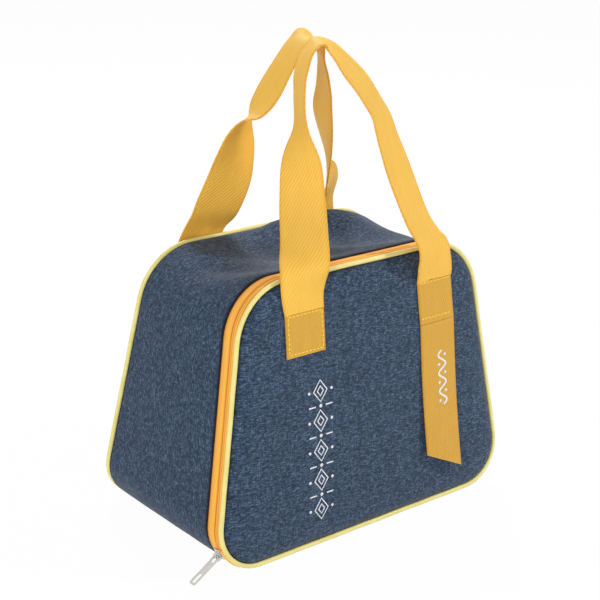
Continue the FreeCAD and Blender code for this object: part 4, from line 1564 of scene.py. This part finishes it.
@dataclass
class FrontPrint:
    """White column of open diamonds with dots between them, below the left end of the handle."""

    panel: PaddedPanel
    finishes: Finishes
    foot: tuple[float, float] = (-49.0, 30.0)
    head: tuple[float, float] = (-46.9, 117.0)
    count: int = 5
    half_size: tuple[float, float] = (6.0, 8.0)
    inner_scale: float = 0.45
    line: float = 1.0
    side_dot: tuple[float, float] = (10.0, 1.1)
    gap_dot: float = 1.3
    dash: tuple[float, float] = (4.5, 10.5)

    def build(self) -> None:
        """Draw the motif."""
        bm = bmesh.new()
        wide, tall = self.half_size
        for step in range(self.count):
            share = step / (self.count - 1)
            x = self.foot[0] + (self.head[0] - self.foot[0]) * share
            z = self.foot[1] + (self.head[1] - self.foot[1]) * share
            for scale in (1.0, self.inner_scale):
                corners = ((0, tall), (wide, 0), (0, -tall), (-wide, 0))
                ink_stroke(bm, [(x + a * scale, z + b * scale) for a, b in corners], self.line, True)
            for side in (-1, 1):
                ink_dot(bm, x + side * self.side_dot[0], z, self.side_dot[1])
            if step:
                level = z - (self.head[1] - self.foot[1]) / (self.count - 1) / 2
                ink_dot(bm, x, level, self.gap_dot)
                for side in (-1, 1):
                    ink_stroke(bm, [(x + side * end, level) for end in self.dash], self.line, False)
        print_on(bm, "front_screen_print", "flap", self.panel, self.finishes.ink,
                 lambda x, z: Vector((x, self.panel.face_depth(x, z), z)))


@dataclass
class HangingTab:
    """Tail of webbing below the right end of the front handle, cut on the slant, with a printed wave."""

    panel: PaddedPanel
    finishes: Finishes
    cut: tuple[float, float] = (44.0, 27.5)
    gap: float = 0.1
    lift: float = 5.0
    drift: float = 2.2
    bevel: float = 0.9
    wave_low: float = 79.0
    wave_high: float = 121.0
    wave_across: float = 3.0
    wave_half: float = 3.6
    wave_turns: int = 6
    wave_steps: int = 48
    wave_line: float = 1.5
    dot: tuple[float, float] = (3.0, 1.2)

    def build(self) -> None:
        """Make the tab and its print."""
        x = FRONT_SHIFT + HANDLE_SPACING / 2 + PATCH_DRIFT
        tab = WebbingPatch(self.panel, x, *self.cut, SEWN_LOW - self.gap, self.lift, self.drift, self.bevel)
        make_piece("tab_webbing", tab.mesh(), self.finishes.shade_painted_webbing, "tab", ["hanging_tab"],
                   sharp=70)
        bm = bmesh.new()
        run = self.wave_high - self.wave_low
        points = []
        for step in range(self.wave_steps + 1):
            share = step / self.wave_steps
            swing = self.wave_half * math.sin(share * self.wave_turns * math.pi)
            points.append((self.wave_across + swing, self.wave_low + run * share))
        ink_stroke(bm, points, self.wave_line, False)
        for turn in range(self.wave_turns):
            side = -1 if turn % 2 == 0 else 1
            level = self.wave_low + run * (turn + 0.5) / self.wave_turns
            ink_dot(bm, self.wave_across + side * self.dot[0], level, self.dot[1])
        print_on(bm, "tab_screen_print", "tab", self.panel, self.finishes.ink,
                 lambda across, rise: tab.spot(across, rise) - Vector((0, WEB_T / 2, 0)))


@dataclass
class Studio:
    """Pale floor, soft lamps and the camera."""

    eye: tuple[float, float, float] = (-656.8, -772.5, 511.7)
    yaw: float = 0.6972
    pitch: float = 0.3395
    roll: float = 0.0276
    focal: float = 1464.17
    frame_px: float = 600.0
    floor_half: float = 6.0
    floor_glow: tuple[float, float] = (0.35, 0.97)
    sky: tuple[float, float] = (0.29, 1.0)
    aim: tuple[float, float, float] = (0.0, 0.0, 0.15)
    # Name, place and side in metres, and power in watts
    lamps: tuple[tuple[str, tuple[float, float, float], float, float], ...] = (
        ("key_lamp", (1.35, -1.1, 1.4), 0.12, 22.0), ("left_lamp", (-1.5, -0.95, 0.75), 0.9, 19.0),
        ("back_lamp", (0.6, 1.2, 1.6), 0.8, 25.0))

    def camera(self) -> None:
        """Set the camera at the photograph's viewing angle."""
        flat = math.cos(self.pitch)
        forward = Vector((math.sin(self.yaw) * flat, math.cos(self.yaw) * flat, -math.sin(self.pitch)))
        right = Vector((math.cos(self.yaw), -math.sin(self.yaw), 0))
        up = right.cross(forward)
        turn, level = math.sin(self.roll), math.cos(self.roll)
        right, up = right * level + up * turn, up * level - right * turn
        data = bpy.data.cameras.new("studio_camera")
        data.sensor_width = 36.0
        data.lens = self.focal / self.frame_px * data.sensor_width
        data.clip_start, data.clip_end = 0.05, 50.0
        camera = bpy.data.objects.new("studio_camera", data)
        axes = Matrix((right, up, -forward)).transposed().to_4x4()
        camera.matrix_world = Matrix.Translation(Vector(self.eye) * MM) @ axes
        bpy.context.scene.collection.objects.link(camera)
        bpy.context.scene.camera = camera

    def lamp(self, name: str, spot: tuple[float, float, float], size: float, power: float) -> None:
        """Add a soft square lamp that faces the bag.

        Args:
            name: Name of the lamp.
            spot: Its place in metres.
            size: Its side in metres.
            power: Its power in watts.
        """
        data = bpy.data.lights.new(name, "AREA")
        data.size = size
        data.energy = power
        lamp = bpy.data.objects.new(name, data)
        lamp.location = spot
        aim = Vector(self.aim) - Vector(spot)
        lamp.rotation_euler = aim.to_track_quat("-Z", "Y").to_euler()
        bpy.context.scene.collection.objects.link(lamp)

    def floor(self) -> None:
        """Pale floor that keeps the bag's shadow."""
        bm = bmesh.new()
        bmesh.ops.create_grid(bm, x_segments=2, y_segments=2, size=self.floor_half)
        mesh = bpy.data.meshes.new("studio_floor")
        bm.to_mesh(mesh)
        bm.free()
        material = bpy.data.materials.new("matt_studio_paper")
        material.use_nodes = True
        tree = material.node_tree
        shader = tree.nodes["Principled BSDF"]
        shader.inputs["Base Color"].default_value = linear("#F4F4F4")
        shader.inputs["Roughness"].default_value = 0.9
        path = add_node(tree, "LightPath").outputs
        seen = add_sum(tree, "ADD", path["Is Camera Ray"], path["Is Glossy Ray"], clamp=True)
        low, high = self.floor_glow
        share = add_node(tree, "MapRange", None, {"Value": seen, "To Min": low, "To Max": high})
        glow = add_node(tree, "Emission", None, {"Color": (1, 1, 1, 1), "Strength": 1.0})
        mixed = add_node(tree, "MixShader", None, {
            0: share.outputs[0], 1: shader.outputs[0], 2: glow.outputs[0]})
        tree.links.new(mixed.outputs[0], tree.nodes["Material Output"].inputs["Surface"])
        mesh.materials.append(material)
        floor = bpy.data.objects.new("studio_floor", mesh)
        bpy.context.scene.collection.objects.link(floor)

    def world(self) -> None:
        """White surround that lights the bag softly and shows as white."""
        world = bpy.data.worlds.new("studio_white")
        world.use_nodes = True
        tree = world.node_tree
        shader = tree.nodes["Background"]
        path = add_node(tree, "LightPath").outputs
        seen = add_sum(tree, "ADD", path["Is Camera Ray"], path["Is Glossy Ray"], clamp=True)
        through = add_sum(tree, "ADD", seen, path["Is Transmission Ray"], clamp=True)
        low, high = self.sky
        level = add_node(tree, "MapRange", None, {"Value": through, "To Min": low, "To Max": high})
        tree.links.new(level.outputs[0], shader.inputs["Strength"])
        shader.inputs["Color"].default_value = (1, 1, 1, 1)
        bpy.context.scene.world = world

    def build(self) -> None:
        """Set the stage."""
        self.camera()
        self.floor()
        self.world()
        for lamp in self.lamps:
            self.lamp(*lamp)
        bpy.context.scene.view_settings.view_transform = "Standard"


def main() -> None:
    """Build every piece of the bag and the studio."""
    finishes = Finishes()
    Studio().build()
    front = PaddedPanel(Side.FRONT, finishes)
    rear = PaddedPanel(Side.REAR, finishes)
    front.build()
    rear.build()
    SideWalls(finishes).build()
    ZipFastener(finishes).build()
    SliderAndPull(finishes).build()
    CarryHandle(Side.FRONT, front, finishes).build()
    CarryHandle(Side.REAR, rear, finishes).build()
    HangingTab(front, finishes).build()
    FrontPrint(front, finishes).build()
    bpy.context.view_layer.update()


if __name__ == "__main__":
    main()
